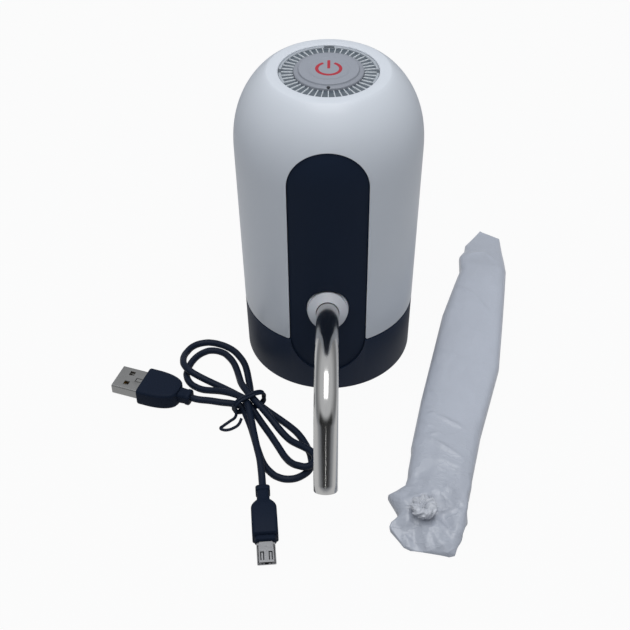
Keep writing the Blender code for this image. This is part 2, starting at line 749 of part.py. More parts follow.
def make_screw(name, radius, head_radius, head_height, length, look):
    """A slotted screw that points up, with its head's bearing face at the origin."""
    outline = [
        (0, -head_height), (head_radius, -head_height), (head_radius, 0), (radius, 0),
        (radius, length - radius), (0, length),
    ]
    screw = turned(name, outline, look, SMALL_STEPS)
    reach = head_radius + OVERRUN
    half = SLOT_WIDTH_SHARE * head_radius / 2
    depth = SLOT_DEPTH_SHARE * head_height
    low = -head_height - OVERRUN
    slot = block(name + "_slot", (-reach, -half, low), (reach, half, depth - head_height), look)
    slot.parent = screw
    return cut(screw, slot)


def make_base_screws(looks):
    bearing = CEILING_LOW + SCREW_HEAD_HEIGHT
    for number, angle in enumerate(POST_ANGLES_DEG, 1):
        screw = make_screw(
            f"base_screw_{number}", SCREW_RADIUS, SCREW_HEAD_RADIUS, SCREW_HEAD_HEIGHT,
            SCREW_LENGTH, looks["plate"],
        )
        screw.location = (*polar(POST_PITCH_RADIUS, angle), bearing)


def make_neck_gasket(looks):
    top = CEILING_LOW - GAP
    low = top - GASKET_THICKNESS
    outer = NECK_RADIUS - GAP
    outline = [
        (GASKET_INNER_RADIUS, top), (GASKET_INNER_RADIUS, low + GASKET_LIP),
        (GASKET_INNER_RADIUS + GASKET_LIP, low), (outer - GASKET_LIP, low), (outer, low + GASKET_LIP),
        (outer, top),
    ]
    turned("neck_gasket", outline, looks["silicone"], FINE_STEPS)


def make_nipple(looks):
    """The barb that the bottle's hose pushes on, with a stub above for the intake tube."""
    flange_low = CEILING_HIGH + GAP
    flange_high = flange_low + NIPPLE_FLANGE_HEIGHT
    tip = CEILING_HIGH - NIPPLE_DROP
    outline = [(NIPPLE_BORE_RADIUS, tip), (NIPPLE_RADIUS - GAP, tip)]
    for barb in range(NIPPLE_BARBS):
        low = tip + barb * NIPPLE_BARB_PITCH
        wide = low + NIPPLE_BARB_PITCH / 2
        outline += [(NIPPLE_BARB_RADIUS, wide), (NIPPLE_RADIUS, wide + GAP)]
    stub_top = flange_high + STUB_LENGTH
    outline += [
        (NIPPLE_RADIUS, flange_low), (NIPPLE_FLANGE_RADIUS, flange_low),
        (NIPPLE_FLANGE_RADIUS, flange_high), (STUB_RADIUS, flange_high), (STUB_RADIUS, stub_top),
        (STUB_BORE_RADIUS, stub_top), (STUB_BORE_RADIUS, flange_high), (NIPPLE_BORE_RADIUS, flange_low),
    ]
    turned("intake_nipple", outline, looks["frame"], SMALL_STEPS)


def pump_levels():
    """Heights of the stack's joints, bottom to top."""
    head_top = PUMP_HEAD_LOW + PUMP_HEAD_HEIGHT
    plate_low = head_top + GAP
    diaphragm_low = plate_low + VALVE_PLATE_THICKNESS + GAP
    body_low = diaphragm_low + DIAPHRAGM_THICKNESS + GAP
    body_top = body_low + PUMP_BODY_HEIGHT
    motor_low = body_top + GAP
    motor_top = motor_low + MOTOR_LENGTH
    return head_top, plate_low, diaphragm_low, body_low, body_top, motor_low, motor_top


def pump_screw_places():
    for number in range(PUMP_SCREWS):
        x, y = polar(PUMP_SCREW_PITCH_RADIUS, 45 + 360 * number / PUMP_SCREWS)
        yield number + 1, (PUMP_X + x, PUMP_Y + y)


def pump_screw_holes(piece, low, high, look):
    for number, centre in pump_screw_places():
        cut(piece, cylinder(
            f"{piece.name}_hole_{number}", PUMP_SCREW_RADIUS + GAP, low, high, look, centre, SMALL_STEPS,
        ))


def port_places():
    return {"inlet": (PUMP_X + PORT_OFFSET, PUMP_Y), "outlet": (PUMP_X - PORT_OFFSET, PUMP_Y)}


def make_pump_head(looks):
    centre = (PUMP_X, PUMP_Y)
    head_top = pump_levels()[0]
    head = cylinder("pump_head", PUMP_RADIUS, PUMP_HEAD_LOW, head_top, looks["frame"], centre)
    low = PUMP_HEAD_LOW - STUB_LENGTH
    stub_top = PUMP_HEAD_LOW + CHASSIS_BITE
    bore_top = head_top + OVERRUN
    for name, place in port_places().items():
        stub = cylinder(name + "_stub", STUB_RADIUS, low, stub_top, looks["frame"], place, SMALL_STEPS)
        bore = cylinder(
            name + "_bore", STUB_BORE_RADIUS, low - OVERRUN, bore_top, looks["frame"], place, SMALL_STEPS,
        )
        join(head, stub)
        cut(head, bore)
    recess = PUMP_HEAD_LOW + PUMP_SCREW_HEAD_HEIGHT + 2 * GAP
    for number, place in pump_screw_places():
        low = PUMP_HEAD_LOW - OVERRUN
        stepped = [
            (0, low), (PUMP_SCREW_HEAD_RADIUS + GAP, low), (PUMP_SCREW_HEAD_RADIUS + GAP, recess),
            (PUMP_SCREW_RADIUS + GAP, recess), (PUMP_SCREW_RADIUS + GAP, head_top + OVERRUN),
            (0, head_top + OVERRUN),
        ]
        cut(head, turned(f"head_screw_pocket_{number}", stepped, looks["frame"], SMALL_STEPS, place))


def make_pump_screws(looks):
    bearing = PUMP_HEAD_LOW + PUMP_SCREW_HEAD_HEIGHT + GAP
    for number, place in pump_screw_places():
        screw = make_screw(
            f"pump_screw_{number}", PUMP_SCREW_RADIUS, PUMP_SCREW_HEAD_RADIUS, PUMP_SCREW_HEAD_HEIGHT,
            PUMP_SCREW_LENGTH, looks["plate"],
        )
        screw.location = (*place, bearing)


def make_pump_works(looks):
    """Valve plate, diaphragm, wobble plate, pump body and the cam that the motor turns."""
    centre = (PUMP_X, PUMP_Y)
    _, plate_low, diaphragm_low, body_low, body_top, motor_low, _ = pump_levels()
    plate_top = plate_low + VALVE_PLATE_THICKNESS
    plate = cylinder("valve_plate", PUMP_RADIUS, plate_low, plate_top, looks["frame"], centre)
    pump_screw_holes(plate, plate_low - OVERRUN, plate_top + OVERRUN, looks["frame"])
    diaphragm_top = diaphragm_low + DIAPHRAGM_THICKNESS
    disc = PUMP_RADIUS - GAP
    diaphragm = cylinder("diaphragm", disc, diaphragm_low, diaphragm_top, looks["rubber"], centre)
    cup_top = diaphragm_top + CUP_HEIGHT
    for number in range(DIAPHRAGM_CUPS):
        x, y = polar(CUP_PITCH_RADIUS, 360 * number / DIAPHRAGM_CUPS)
        cup = cylinder(
            f"cup_{number}", CUP_RADIUS, diaphragm_low + CHASSIS_BITE, cup_top, looks["rubber"],
            (PUMP_X + x, PUMP_Y + y), SMALL_STEPS,
        )
        join(diaphragm, cup)
    pump_screw_holes(diaphragm, diaphragm_low - OVERRUN, diaphragm_top + OVERRUN, looks["rubber"])
    shaft_hole = MOTOR_BOSS_RADIUS + GAP
    roof = body_top - PUMP_BODY_TOP
    body = turned("pump_body", [
        (PUMP_BODY_BORE_RADIUS, body_low), (PUMP_RADIUS, body_low), (PUMP_RADIUS, body_top),
        (shaft_hole, body_top), (shaft_hole, roof), (PUMP_BODY_BORE_RADIUS, roof),
    ], looks["black"], ROUND_STEPS, centre)
    screw_top = PUMP_HEAD_LOW + PUMP_SCREW_HEAD_HEIGHT + PUMP_SCREW_LENGTH + 2 * GAP
    pump_screw_holes(body, body_low - OVERRUN, screw_top, looks["black"])
    wobble = turned("wobble_plate", [
        (0, 0), (WOBBLE_RADIUS, 0), (WOBBLE_RADIUS, WOBBLE_THICKNESS),
        (WOBBLE_PIN_RADIUS, WOBBLE_THICKNESS), (WOBBLE_PIN_RADIUS, WOBBLE_THICKNESS + WOBBLE_PIN_HEIGHT),
        (0, WOBBLE_THICKNESS + WOBBLE_PIN_HEIGHT),
    ], looks["tongue"], ROUND_STEPS)
    wobble.location = (*centre, cup_top + WOBBLE_LIFT)
    wobble.rotation_euler = (0, math.radians(WOBBLE_TILT_DEG), 0)
    cam_top = roof - GAP
    cam_low = cam_top - CAM_HEIGHT
    bore_floor = cam_low + CAM_PIN_DEPTH + CAM_FLOOR
    cam = turned("eccentric_cam", [
        (0, cam_low), (CAM_RADIUS, cam_low), (CAM_RADIUS, cam_top), (SHAFT_BORE_RADIUS, cam_top),
        (SHAFT_BORE_RADIUS, bore_floor), (0, bore_floor),
    ], looks["tongue"], ROUND_STEPS, centre)
    pin_reach = cam_low + CAM_PIN_DEPTH / 2 - cup_top - WOBBLE_LIFT
    pin_offset = pin_reach * math.tan(math.radians(WOBBLE_TILT_DEG))
    cut(cam, cylinder(
        "cam_pin_hole", CAM_PIN_HOLE_RADIUS, cam_low - OVERRUN, cam_low + CAM_PIN_DEPTH, looks["tongue"],
        (PUMP_X + pin_offset, PUMP_Y), SMALL_STEPS,
    ))
    return bore_floor


def make_motor(looks, shaft_seat):
    centre = (PUMP_X, PUMP_Y)
    motor_low, motor_top = pump_levels()[5:]
    boss_low = motor_low - MOTOR_BOSS_HEIGHT
    inside = PUMP_RADIUS - MOTOR_WALL
    turned("motor_can", [
        (SHAFT_BORE_RADIUS, boss_low), (MOTOR_BOSS_RADIUS, boss_low), (MOTOR_BOSS_RADIUS, motor_low),
        (PUMP_RADIUS, motor_low), (PUMP_RADIUS, motor_top), (inside, motor_top),
        (inside, motor_low + MOTOR_WALL), (SHAFT_BORE_RADIUS, motor_low + MOTOR_WALL),
    ], looks["plate"], ROUND_STEPS, centre)
    cap_low = motor_top - END_CAP_THICKNESS
    shaft_top = cap_low - GAP
    cap = cylinder("motor_end_cap", inside - GAP, cap_low, motor_top, looks["rubber"], centre)
    thin, wide = TERMINAL_THICKNESS / 2, TERMINAL_WIDTH / 2
    foot, head = motor_top - CHASSIS_BITE, motor_top + TERMINAL_HEIGHT
    for side in (-1, 1):
        x = PUMP_X + side * TERMINAL_SPREAD
        corners = (x - thin, PUMP_Y - wide, foot), (x + thin, PUMP_Y + wide, head)
        join(cap, block(f"terminal_{side}", *corners, looks["plate"]))
    cylinder("motor_shaft", SHAFT_RADIUS, shaft_seat + GAP, shaft_top, looks["plate"], centre, SMALL_STEPS)
    armature_low = motor_low + MOTOR_WALL + ARMATURE_LIFT
    armature_top = armature_low + ARMATURE_LENGTH
    turned("motor_armature", [
        (SHAFT_BORE_RADIUS, armature_low), (ARMATURE_RADIUS, armature_low),
        (ARMATURE_RADIUS, armature_top), (SHAFT_BORE_RADIUS, armature_top),
    ], looks["plate"], ROUND_STEPS, centre)


def make_chassis(looks):
    """The plate over the base's ceiling, with the battery's cradle, the pump's bracket and two rests."""
    low = CEILING_HIGH + GAP
    top = low + CHASSIS_THICKNESS
    spigot_inside = wall_radius(SEAM_HEIGHT, SHELL_WALL + GAP) - SPIGOT_WALL
    radius = spigot_inside - CHASSIS_RIM_CLEARANCE
    look = looks["frame"]
    chassis = cylinder("chassis_plate", radius, low, top, look, (0, 0), FINE_STEPS)
    foot = top - CHASSIS_BITE
    cradle_radius = BATTERY_RADIUS + GAP + CRADLE_WALL
    cradle = turned("cradle_wall", [
        (BATTERY_RADIUS + GAP, foot), (cradle_radius, foot), (cradle_radius, top + CRADLE_HEIGHT),
        (BATTERY_RADIUS + GAP, top + CRADLE_HEIGHT),
    ], look, ROUND_STEPS, (BATTERY_X, BATTERY_Y))
    reach = cradle_radius + OVERRUN
    cradle_cut = block(
        "cradle_opening", (BATTERY_X - reach, BATTERY_Y - reach, low - OVERRUN),
        (BATTERY_X, BATTERY_Y + reach, top + CRADLE_HEIGHT + OVERRUN), look,
    )
    cut(cradle, cradle_cut)
    bracket_radius = PUMP_RADIUS + GAP + CRADLE_WALL
    bracket_top = PUMP_HEAD_LOW + BRACKET_RISE
    shelf_high = PUMP_HEAD_LOW - GAP
    shelf_low = shelf_high - SHELF_THICKNESS
    bracket = turned("bracket_wall", [
        (PUMP_RADIUS + GAP, foot), (bracket_radius, foot), (bracket_radius, bracket_top),
        (PUMP_RADIUS + GAP, bracket_top),
    ], look, ROUND_STEPS, (PUMP_X, PUMP_Y))
    reach = bracket_radius + OVERRUN
    bracket_cut = block(
        "bracket_opening", (PUMP_X, PUMP_Y - reach, low - OVERRUN),
        (PUMP_X + reach, PUMP_Y + reach, bracket_top + OVERRUN), look,
    )
    cut(bracket, bracket_cut)
    shelf = cylinder(
        "pump_shelf", PUMP_RADIUS + GAP + CRADLE_WALL / 2, shelf_low, shelf_high, look, (PUMP_X, PUMP_Y),
    )
    slot_half = TUBE_RADIUS + GAP
    slot_reach = PORT_OFFSET + slot_half
    shelf_slot = block(
        "shelf_slot", (PUMP_X - slot_reach, PUMP_Y - slot_half, shelf_low - OVERRUN),
        (PUMP_X + slot_reach, PUMP_Y + slot_half, shelf_high + OVERRUN), look,
    )
    cut(shelf, shelf_slot)
    saddle_back = wall_radius(OUTLET_HEIGHT, PANEL_RECESS) - COLLAR_BACK - SOCKET_LENGTH / 2
    saddle_y = -saddle_back - SADDLE_LENGTH / 2
    saddle = block(
        "socket_saddle", (-SADDLE_HALF_WIDTH, saddle_y, foot),
        (SADDLE_HALF_WIDTH, saddle_y + SADDLE_LENGTH, OUTLET_HEIGHT - SOCKET_RADIUS), look,
    )
    socket_room = outlet_cylinder(
        "socket_room", SOCKET_RADIUS + GAP, -COLLAR_BACK - 2 * SOCKET_LENGTH, COLLAR_BACK, look,
    )
    cut(saddle, socket_room)
    board_face = BOARD_BACK - BOARD_THICKNESS - GAP
    board_wall = block(
        "board_rest", (-BOARD_HALF_WIDTH, board_face - BOARD_WALL, foot),
        (BOARD_HALF_WIDTH, board_face, BOARD_SCREW_Z + 2 * BOARD_SCREW_HEAD_RADIUS), look,
    )
    join(chassis, cradle, bracket, shelf, saddle, board_wall)
    for side in (-1, 1):
        cut(chassis, board_screw_hole(f"rest_hole_{side}", side, look))
    middle = cylinder("chassis_hole", CHASSIS_HOLE_RADIUS, low - OVERRUN, top + OVERRUN, look)
    cut(chassis, middle)
    for number, angle in enumerate(POST_ANGLES_DEG, 1):
        centre = polar(POST_PITCH_RADIUS, angle)
        cut(chassis, cylinder(
            f"chassis_post_hole_{number}", POST_RADIUS + GAP, low - OVERRUN, top + OVERRUN, look, centre,
            SMALL_STEPS,
        ))


def board_screw_hole(name, side, look):
    """A hole along Y through the charging board and the rest behind it."""
    radius = BOARD_SCREW_RADIUS + GAP
    hole = cylinder(name, radius, -BOARD_HOLE_REACH, BOARD_HOLE_REACH, look, (0, 0), SMALL_STEPS)
    hole.location = (side * BOARD_SCREW_X, BOARD_BACK - BOARD_THICKNESS, BOARD_SCREW_Z)
    hole.rotation_euler = (math.pi / 2, 0, 0)
    return hole


def make_battery(looks):
    centre = (BATTERY_X, BATTERY_Y)
    low = CEILING_HIGH + CHASSIS_THICKNESS + 2 * GAP
    top = low + BATTERY_LENGTH
    nub = top + BATTERY_NUB_HEIGHT
    turned("battery_cell", [
        (0, low), (BATTERY_RADIUS - BATTERY_EDGE, low), (BATTERY_RADIUS, low + BATTERY_EDGE),
        (BATTERY_RADIUS, top - BATTERY_EDGE), (BATTERY_RADIUS - BATTERY_EDGE, top),
        (BATTERY_NUB_RADIUS, top), (BATTERY_NUB_RADIUS, nub), (0, nub),
    ], looks["cell"], ROUND_STEPS, centre)
    inside = BATTERY_RADIUS + GAP
    outside = inside + CAP_WALL
    roof = nub + GAP
    foot = roof - CAP_SKIRT
    cap_top = roof + CAP_WALL
    turned("battery_cap", [
        (inside, foot), (outside, foot), (outside, cap_top), (0, cap_top), (0, roof), (inside, roof),
    ], looks["frame"], ROUND_STEPS, centre)
    return cap_top


def make_charge_board(looks):
    front = BOARD_BACK - BOARD_THICKNESS
    board = block(
        "charge_board", (-BOARD_HALF_WIDTH, front, BOARD_LOW),
        (BOARD_HALF_WIDTH, BOARD_BACK, BOARD_LOW + BOARD_HEIGHT), looks["board"],
    )
    for side, name in ((-1, "board_screw_left"), (1, "board_screw_right")):
        cut(board, board_screw_hole(f"board_hole_{side}", side, looks["board"]))
        screw = make_screw(
            name, BOARD_SCREW_RADIUS, BOARD_SCREW_HEAD_RADIUS, BOARD_SCREW_HEAD_HEIGHT,
            BOARD_THICKNESS + BOARD_WALL, looks["plate"],
        )
        screw.location = (side * BOARD_SCREW_X, BOARD_BACK + GAP, BOARD_SCREW_Z)
        screw.rotation_euler = (math.pi / 2, 0, 0)
    make_socket_shell(looks)


def make_socket_shell(looks):
    """The micro-USB socket: a shell open to the back, with a tongue standing on its floor."""
    look = looks["plate"]
    start = BOARD_BACK + GAP
    end = start + PORT_DEPTH
    around = port_outline(PORT_HALF_WIDTH, PORT_HALF_HEIGHT, -GAP)
    within = port_outline(PORT_HALF_WIDTH, PORT_HALF_HEIGHT, -GAP - PORT_WALL)
    tip = port_outline(PORT_TONGUE_HALF_WIDTH, PORT_TONGUE_HALF_HEIGHT, 0)
    shell = prism("usb_socket", around, start, end, look)
    inside = prism("socket_inside", within, start + 2 * PORT_WALL, end + OVERRUN, look)
    tongue = prism("socket_tongue", tip, start + PORT_WALL, end - PORT_TONGUE_BACKSET, look)
    cut(shell, inside)
    join(shell, tongue)
    for piece in (shell, inside, tongue):
        piece.location = (0, 0, PORT_HEIGHT_Z)
        piece.rotation_euler = (-math.pi / 2, 0, 0)


def make_collar(looks):
    middle = (COLLAR_RADIUS - COLLAR_ROUND, COLLAR_FACE - COLLAR_ROUND)
    rounding = arc(middle, COLLAR_ROUND, 0, 90, SMALL_STEPS // 3)
    bore = SPOUT_RADIUS + GAP
    lip_front = COLLAR_LIP - COLLAR_BACK
    outline = [
        (bore, -COLLAR_BACK), (COLLAR_LIP_RADIUS, -COLLAR_BACK), (COLLAR_LIP_RADIUS, lip_front),
        (COLLAR_RADIUS, lip_front), *rounding, (bore + GAP, COLLAR_FACE), (bore, COLLAR_FACE - GAP),
    ]
    on_outlet(turned("spout_collar", outline, looks["silicone"], ROUND_STEPS))


def make_socket(looks):
    """The socket that takes the spout's inner end on two sealing rings, with a stub for the outlet tube."""
    mouth = -COLLAR_BACK - GAP
    floor = mouth - SOCKET_LENGTH
    back = floor - SOCKET_FLOOR
    stub = back - STUB_LENGTH
    bore = SPOUT_RADIUS + 2 * ORING_WIRE_RADIUS + 2 * GAP
    outline = [
        (STUB_BORE_RADIUS, stub), (STUB_RADIUS, stub), (STUB_RADIUS, back), (SOCKET_RADIUS, back),
        (SOCKET_RADIUS, mouth), (bore, mouth), (bore, floor), (STUB_BORE_RADIUS, floor),
    ]
    on_outlet(turned("outlet_socket", outline, looks["frame"], ROUND_STEPS))
    for name, share in zip(("spout_oring_inner", "spout_oring_outer"), ORING_PLACES_SHARES):
        middle = (SPOUT_RADIUS + GAP + ORING_WIRE_RADIUS, floor + share * SOCKET_LENGTH)
        circle = arc(middle, ORING_WIRE_RADIUS, 0, 360, ORING_SIDES)[1:]
        on_outlet(turned(name, circle, looks["rubber"], ROUND_STEPS))
    return stub


def spout_bend(start, first, last, radius):
    """Points round a bend of the spout, which turns from one angle below its axis to another."""
    middle = start - radius * Vector((0, math.cos(first), math.sin(first)))
    points = []
    for step in range(1, SPOUT_BEND_STEPS + 1):
        angle = first + (last - first) * step / SPOUT_BEND_STEPS
        points.append(middle + radius * Vector((0, math.cos(angle), math.sin(angle))))
    return points


def spout_route():
    """The spout's centreline in the outlet's own frame: straight, an easy bend, a tight one, a last leg."""
    inner_end = -COLLAR_BACK - SOCKET_LENGTH
    ease = math.radians(SPOUT_EASE_DEG)
    turn = math.radians(OUTLET_RISE_DEG + SPOUT_FALL_DEG)
    bend_start = Vector((0, 0, SPOUT_STRAIGHT))
    route = [Vector((0, 0, inner_end)), Vector((0, 0, 0)), bend_start / 2, bend_start]
    route += spout_bend(bend_start, 0, ease, SPOUT_EASE_RADIUS)
    route += spout_bend(route[-1], ease, turn, SPOUT_BEND_RADIUS)
    way = Vector((0, -math.sin(turn), math.cos(turn)))
    return [*route, route[-1] + SPOUT_LAST_LEG * way]


def make_spout(looks):
    bore = SPOUT_RADIUS - SPOUT_WALL
    pipe = hollow_tube("spout_pipe", spout_route(), SPOUT_RADIUS, bore, SPOUT_SIDES, looks["steel"])
    on_outlet(pipe)


def straight_end(end, way, past=STUB_LENGTH):
    """Three points in line that carry a tube straight over a stub, the outermost first."""
    return [Vector(end) + Vector(way) * length for length in (0, past, past + TUBE_RADIUS / 2)]


def make_inner_tubes(looks, stub):
    """The silicone tubes from the nipple to the pump's inlet, and from its outlet to the spout's socket."""
    ports = port_places()
    rise = CEILING_HIGH + 2 * GAP + NIPPLE_FLANGE_HEIGHT
    at_inlet = straight_end((*ports["inlet"], PUMP_HEAD_LOW - GAP), (0, 0, -1))
    at_outlet = straight_end((*ports["outlet"], PUMP_HEAD_LOW - GAP), (0, 0, -1))
    intake = straight_end((0, 0, rise), (0, 0, 1)) + at_inlet[::-1]
    frame = outlet_frame()
    inward = frame.to_3x3() @ Vector((0, 0, -1))
    outlet = straight_end(frame @ Vector((0, 0, stub + STUB_LENGTH - GAP)), inward) + at_outlet[::-1]
    for name, points in (("intake_tube", intake), ("outlet_tube", outlet)):
        route = smooth_route(points, TUBE_RADIUS)
        hollow_tube(name, route, TUBE_RADIUS, TUBE_BORE_RADIUS, TUBE_SIDES, looks["silicone"])


def ring_levels():
    """Heights in the dome's top: ring top, flange top, skirt foot, board top and button top."""
    ring_top = BODY_HEIGHT - RING_SINK
    flange_top = BODY_HEIGHT - SHELL_WALL - GAP
    skirt_foot = flange_top - RING_SKIRT_DEPTH
    board_top = skirt_foot + RING_SEAT
    return ring_top, flange_top, skirt_foot, board_top, BODY_HEIGHT + BUTTON_RISE


def make_light_ring(looks):
    ring_top, flange_top, skirt_foot, board_top, _ = ring_levels()
    inner = BUTTON_RADIUS + GAP
    sleeve = inner + RING_SLEEVE_WALL
    band = ring_top - RING_BAND_SINK
    web = band - RING_WEB
    flange_low = flange_top - RING_FLANGE
    skirt_inner = RING_FLANGE_RADIUS - RING_SKIRT_WALL
    skirt_outer = RING_FLANGE_RADIUS - BASE_EDGE
    sleeve_foot = ring_top - RING_SLEEVE_DEPTH
    rim = RING_RADIUS - RING_RIM
    seat = board_top + GAP
    outline = [
        (inner, ring_top), (inner, sleeve_foot), (sleeve, sleeve_foot), (sleeve, web),
        (skirt_inner - RING_SEAT, web), (skirt_inner - RING_SEAT, seat), (skirt_inner, seat),
        (skirt_inner, skirt_foot), (skirt_outer, skirt_foot), (skirt_outer, flange_low),
        (RING_FLANGE_RADIUS, flange_low), (RING_FLANGE_RADIUS, flange_top), (RING_RADIUS, flange_top),
        (RING_RADIUS, ring_top), (rim, ring_top), (rim, band), (sleeve, band), (sleeve, ring_top),
    ]
    turned("light_ring", outline, looks["ring"], RING_STEPS)


def make_button(looks):
    ring_top, _, _, board_top, top = ring_levels()
    sleeve_foot = ring_top - RING_SLEEVE_DEPTH
    lip_top = sleeve_foot - GAP
    lip_low = lip_top - BUTTON_LIP_HEIGHT
    roof = top - BUTTON_TOP_WALL
    plunger_top = board_top + GAP + SWITCH_HEIGHT + PLUNGER_HEIGHT
    post_low = plunger_top + BUTTON_TRAVEL + GAP
    inside = BUTTON_RADIUS - BUTTON_WALL
    lip = BUTTON_RADIUS + BUTTON_LIP
    turned("power_button", [
        (0, post_low), (BUTTON_POST_RADIUS, post_low), (BUTTON_POST_RADIUS, roof), (inside, roof),
        (inside, lip_low), (lip, lip_low), (lip, lip_top), (BUTTON_RADIUS, lip_top),
        (BUTTON_RADIUS, top - BUTTON_EDGE), (BUTTON_RADIUS - BUTTON_EDGE, top), (0, top),
    ], looks["button"], RING_STEPS)
    return roof


def make_switch_board(looks, button_roof):
    """The round board under the button, with its switch, its lamps and the button's return spring."""
    board_top = ring_levels()[3]
    board_radius = RING_FLANGE_RADIUS - RING_SKIRT_WALL - GAP
    board_low = board_top - SWITCH_BOARD_THICKNESS
    cylinder("switch_board", board_radius, board_low, board_top, looks["board"])
    base = board_top + GAP
    switch = block(
        "tact_switch", (-SWITCH_HALF_WIDTH, -SWITCH_HALF_WIDTH, base),
        (SWITCH_HALF_WIDTH, SWITCH_HALF_WIDTH, base + SWITCH_HEIGHT), looks["rubber"],
    )
    join(switch, cylinder(
        "plunger", PLUNGER_RADIUS, base + SWITCH_HEIGHT / 2, base + SWITCH_HEIGHT + PLUNGER_HEIGHT,
        looks["rubber"], (0, 0), SMALL_STEPS,
    ))
    half = LED_SIZE / 2
    lamp_radius = BUTTON_RADIUS + 2 * GAP + RING_SLEEVE_WALL + half
    for number in range(LED_COUNT):
        lamp = block(f"led_{number + 1}", (-half, -half, 0), (half, half, LED_HEIGHT), looks["led"])
        lamp.location = (*polar(lamp_radius, 45 + 360 * number / LED_COUNT), base)
    low = base + SPRING_WIRE_RADIUS
    high = button_roof - GAP - SPRING_WIRE_RADIUS
    count = SPRING_TURNS * SPRING_TURN_POINTS
    coil = []
    for place in range(count + 1):
        x, y = polar(SPRING_RADIUS, 360 * place / SPRING_TURN_POINTS)
        coil.append((x, y, low + (high - low) * place / count))
    tube_curve("button_spring", coil, SPRING_WIRE_RADIUS, looks["plate"])


def make_wires(looks, battery_top):
    """Leads from the battery to the charging board, from there to the motor, and up to the switch."""
    solder = BOARD_BACK - BOARD_THICKNESS - WIRE_RADIUS - GAP
    board_high = BOARD_LOW + BOARD_HEIGHT
    board_wire = board_high - WIRE_SPACING
    motor_top = pump_levels()[6]
    terminal_z = motor_top + TERMINAL_HEIGHT / 2
    clear = WIRE_RADIUS + GAP
    switch_low = ring_levels()[3] - SWITCH_BOARD_THICKNESS - GAP
    behind_battery = BATTERY_Y + BATTERY_RADIUS + CAP_WALL + WIRE_SPACING
    beside_battery = BATTERY_X - BATTERY_RADIUS - clear
    beside_motor = PUMP_X + PUMP_RADIUS + WIRE_SPACING

    def down_to_board(place):
        x = place * WIRE_SPACING
        return [(x, solder - WIRE_SPACING, board_high + WIRE_SPACING), (x, solder, board_wire)]

    leads = {
        "battery_wire_positive": ("red", [
            (BATTERY_X, BATTERY_Y, battery_top + clear), (BATTERY_X, behind_battery, battery_top + clear),
            (BATTERY_X - BATTERY_RADIUS, behind_battery, battery_top - BATTERY_RADIUS), *down_to_board(2),
        ]),
        "battery_wire_negative": ("rubber", [
            (beside_battery, BATTERY_Y, BOARD_LOW + WIRE_SPACING),
            (beside_battery - WIRE_SPACING, BATTERY_Y + WIRE_SPACING, BOARD_LOW + 3 * WIRE_SPACING),
            (WIRE_SPACING, BATTERY_Y + BATTERY_RADIUS, board_wire), *down_to_board(1),
        ]),
        "motor_wire_positive": ("red", [
            (PUMP_X + TERMINAL_SPREAD + TERMINAL_THICKNESS / 2 + clear, PUMP_Y, terminal_z),
            (beside_motor, PUMP_Y + WIRE_SPACING, terminal_z),
            (beside_motor, PUMP_Y + PUMP_RADIUS, motor_top - PUMP_RADIUS), *down_to_board(-1),
        ]),
        "motor_wire_negative": ("rubber", [
            (PUMP_X - TERMINAL_SPREAD + TERMINAL_THICKNESS / 2 + clear, PUMP_Y, terminal_z),
            (PUMP_X - PUMP_RADIUS / 2, PUMP_Y + PUMP_RADIUS / 2, terminal_z + WIRE_SPACING),
            (PUMP_X - PUMP_RADIUS / 2, PUMP_Y + PUMP_RADIUS + clear, terminal_z + WIRE_SPACING),
            (PUMP_X + PUMP_RADIUS / 2, PUMP_Y + PUMP_RADIUS + WIRE_SPACING, motor_top - PUMP_RADIUS),
            *down_to_board(-2),
        ]),
        "switch_lead": ("tongue", [
            (0, behind_battery, switch_low), (0, behind_battery, switch_low - BATTERY_RADIUS),
            *down_to_board(0),
        ]),
    }
    for name, (look, points) in leads.items():
        tube_curve(name, smooth_route(points, 4 * WIRE_SPACING), WIRE_RADIUS, looks[look])


def plug_frame(tip, heading_deg, height):
    """A frame at a plug's tip, with +X along the plug towards its cable."""
    return Matrix.Translation((*tip, height)) @ Matrix.Rotation(math.radians(heading_deg), 4, "Z")


def rounded_ring(x, half_width, half_height, rounding, steps=2):
    """A rounded rectangle square to X, as a ring of points."""
    rounding = min(rounding, half_width, half_height)
    corners = ((1, 1, 0), (-1, 1, 90), (-1, -1, 180), (1, -1, 270))
    ring = []
    for side, level, start in corners:
        middle = (side * (half_width - rounding), level * (half_height - rounding))
        ring += [(x, y, z) for y, z in arc(middle, rounding, start, start + 90, steps)]
    return ring


def make_plug_shell(name, length, half_width, half_height, wall, floor, look):
    """A flat metal shell from the plug's tip to its grip, open at the tip, and the room cut out of it."""
    outer = [rounded_ring(x, half_width, half_height, wall) for x in (0, length)]
    shell = lofted(name, outer, look)
    wide, tall = half_width - wall, half_height - wall
    inner = [rounded_ring(x, wide, tall, wall / 2) for x in (-OVERRUN, length - floor)]
    room = lofted(name + "_room", inner, look)
    return cut(shell, room), room


def set_frame(frame, *pieces):
    for piece in pieces:
        piece.matrix_world = frame


def usb_windows(look):
    """The cutters for the two square windows in the USB-A shell's upper side."""
    half = USB_WINDOW / 2
    low = USB_SHELL_HALF_HEIGHT - 2 * USB_SHELL_WALL
    high = USB_SHELL_HALF_HEIGHT + OVERRUN
    windows = []
    for side in (-1, 1):
        y = side * USB_WINDOW_OFFSET
        corners = (USB_WINDOW_SETBACK - half, y - half, low), (USB_WINDOW_SETBACK + half, y + half, high)
        windows.append(block(f"usb_window_{side}", *corners, look))
    return windows


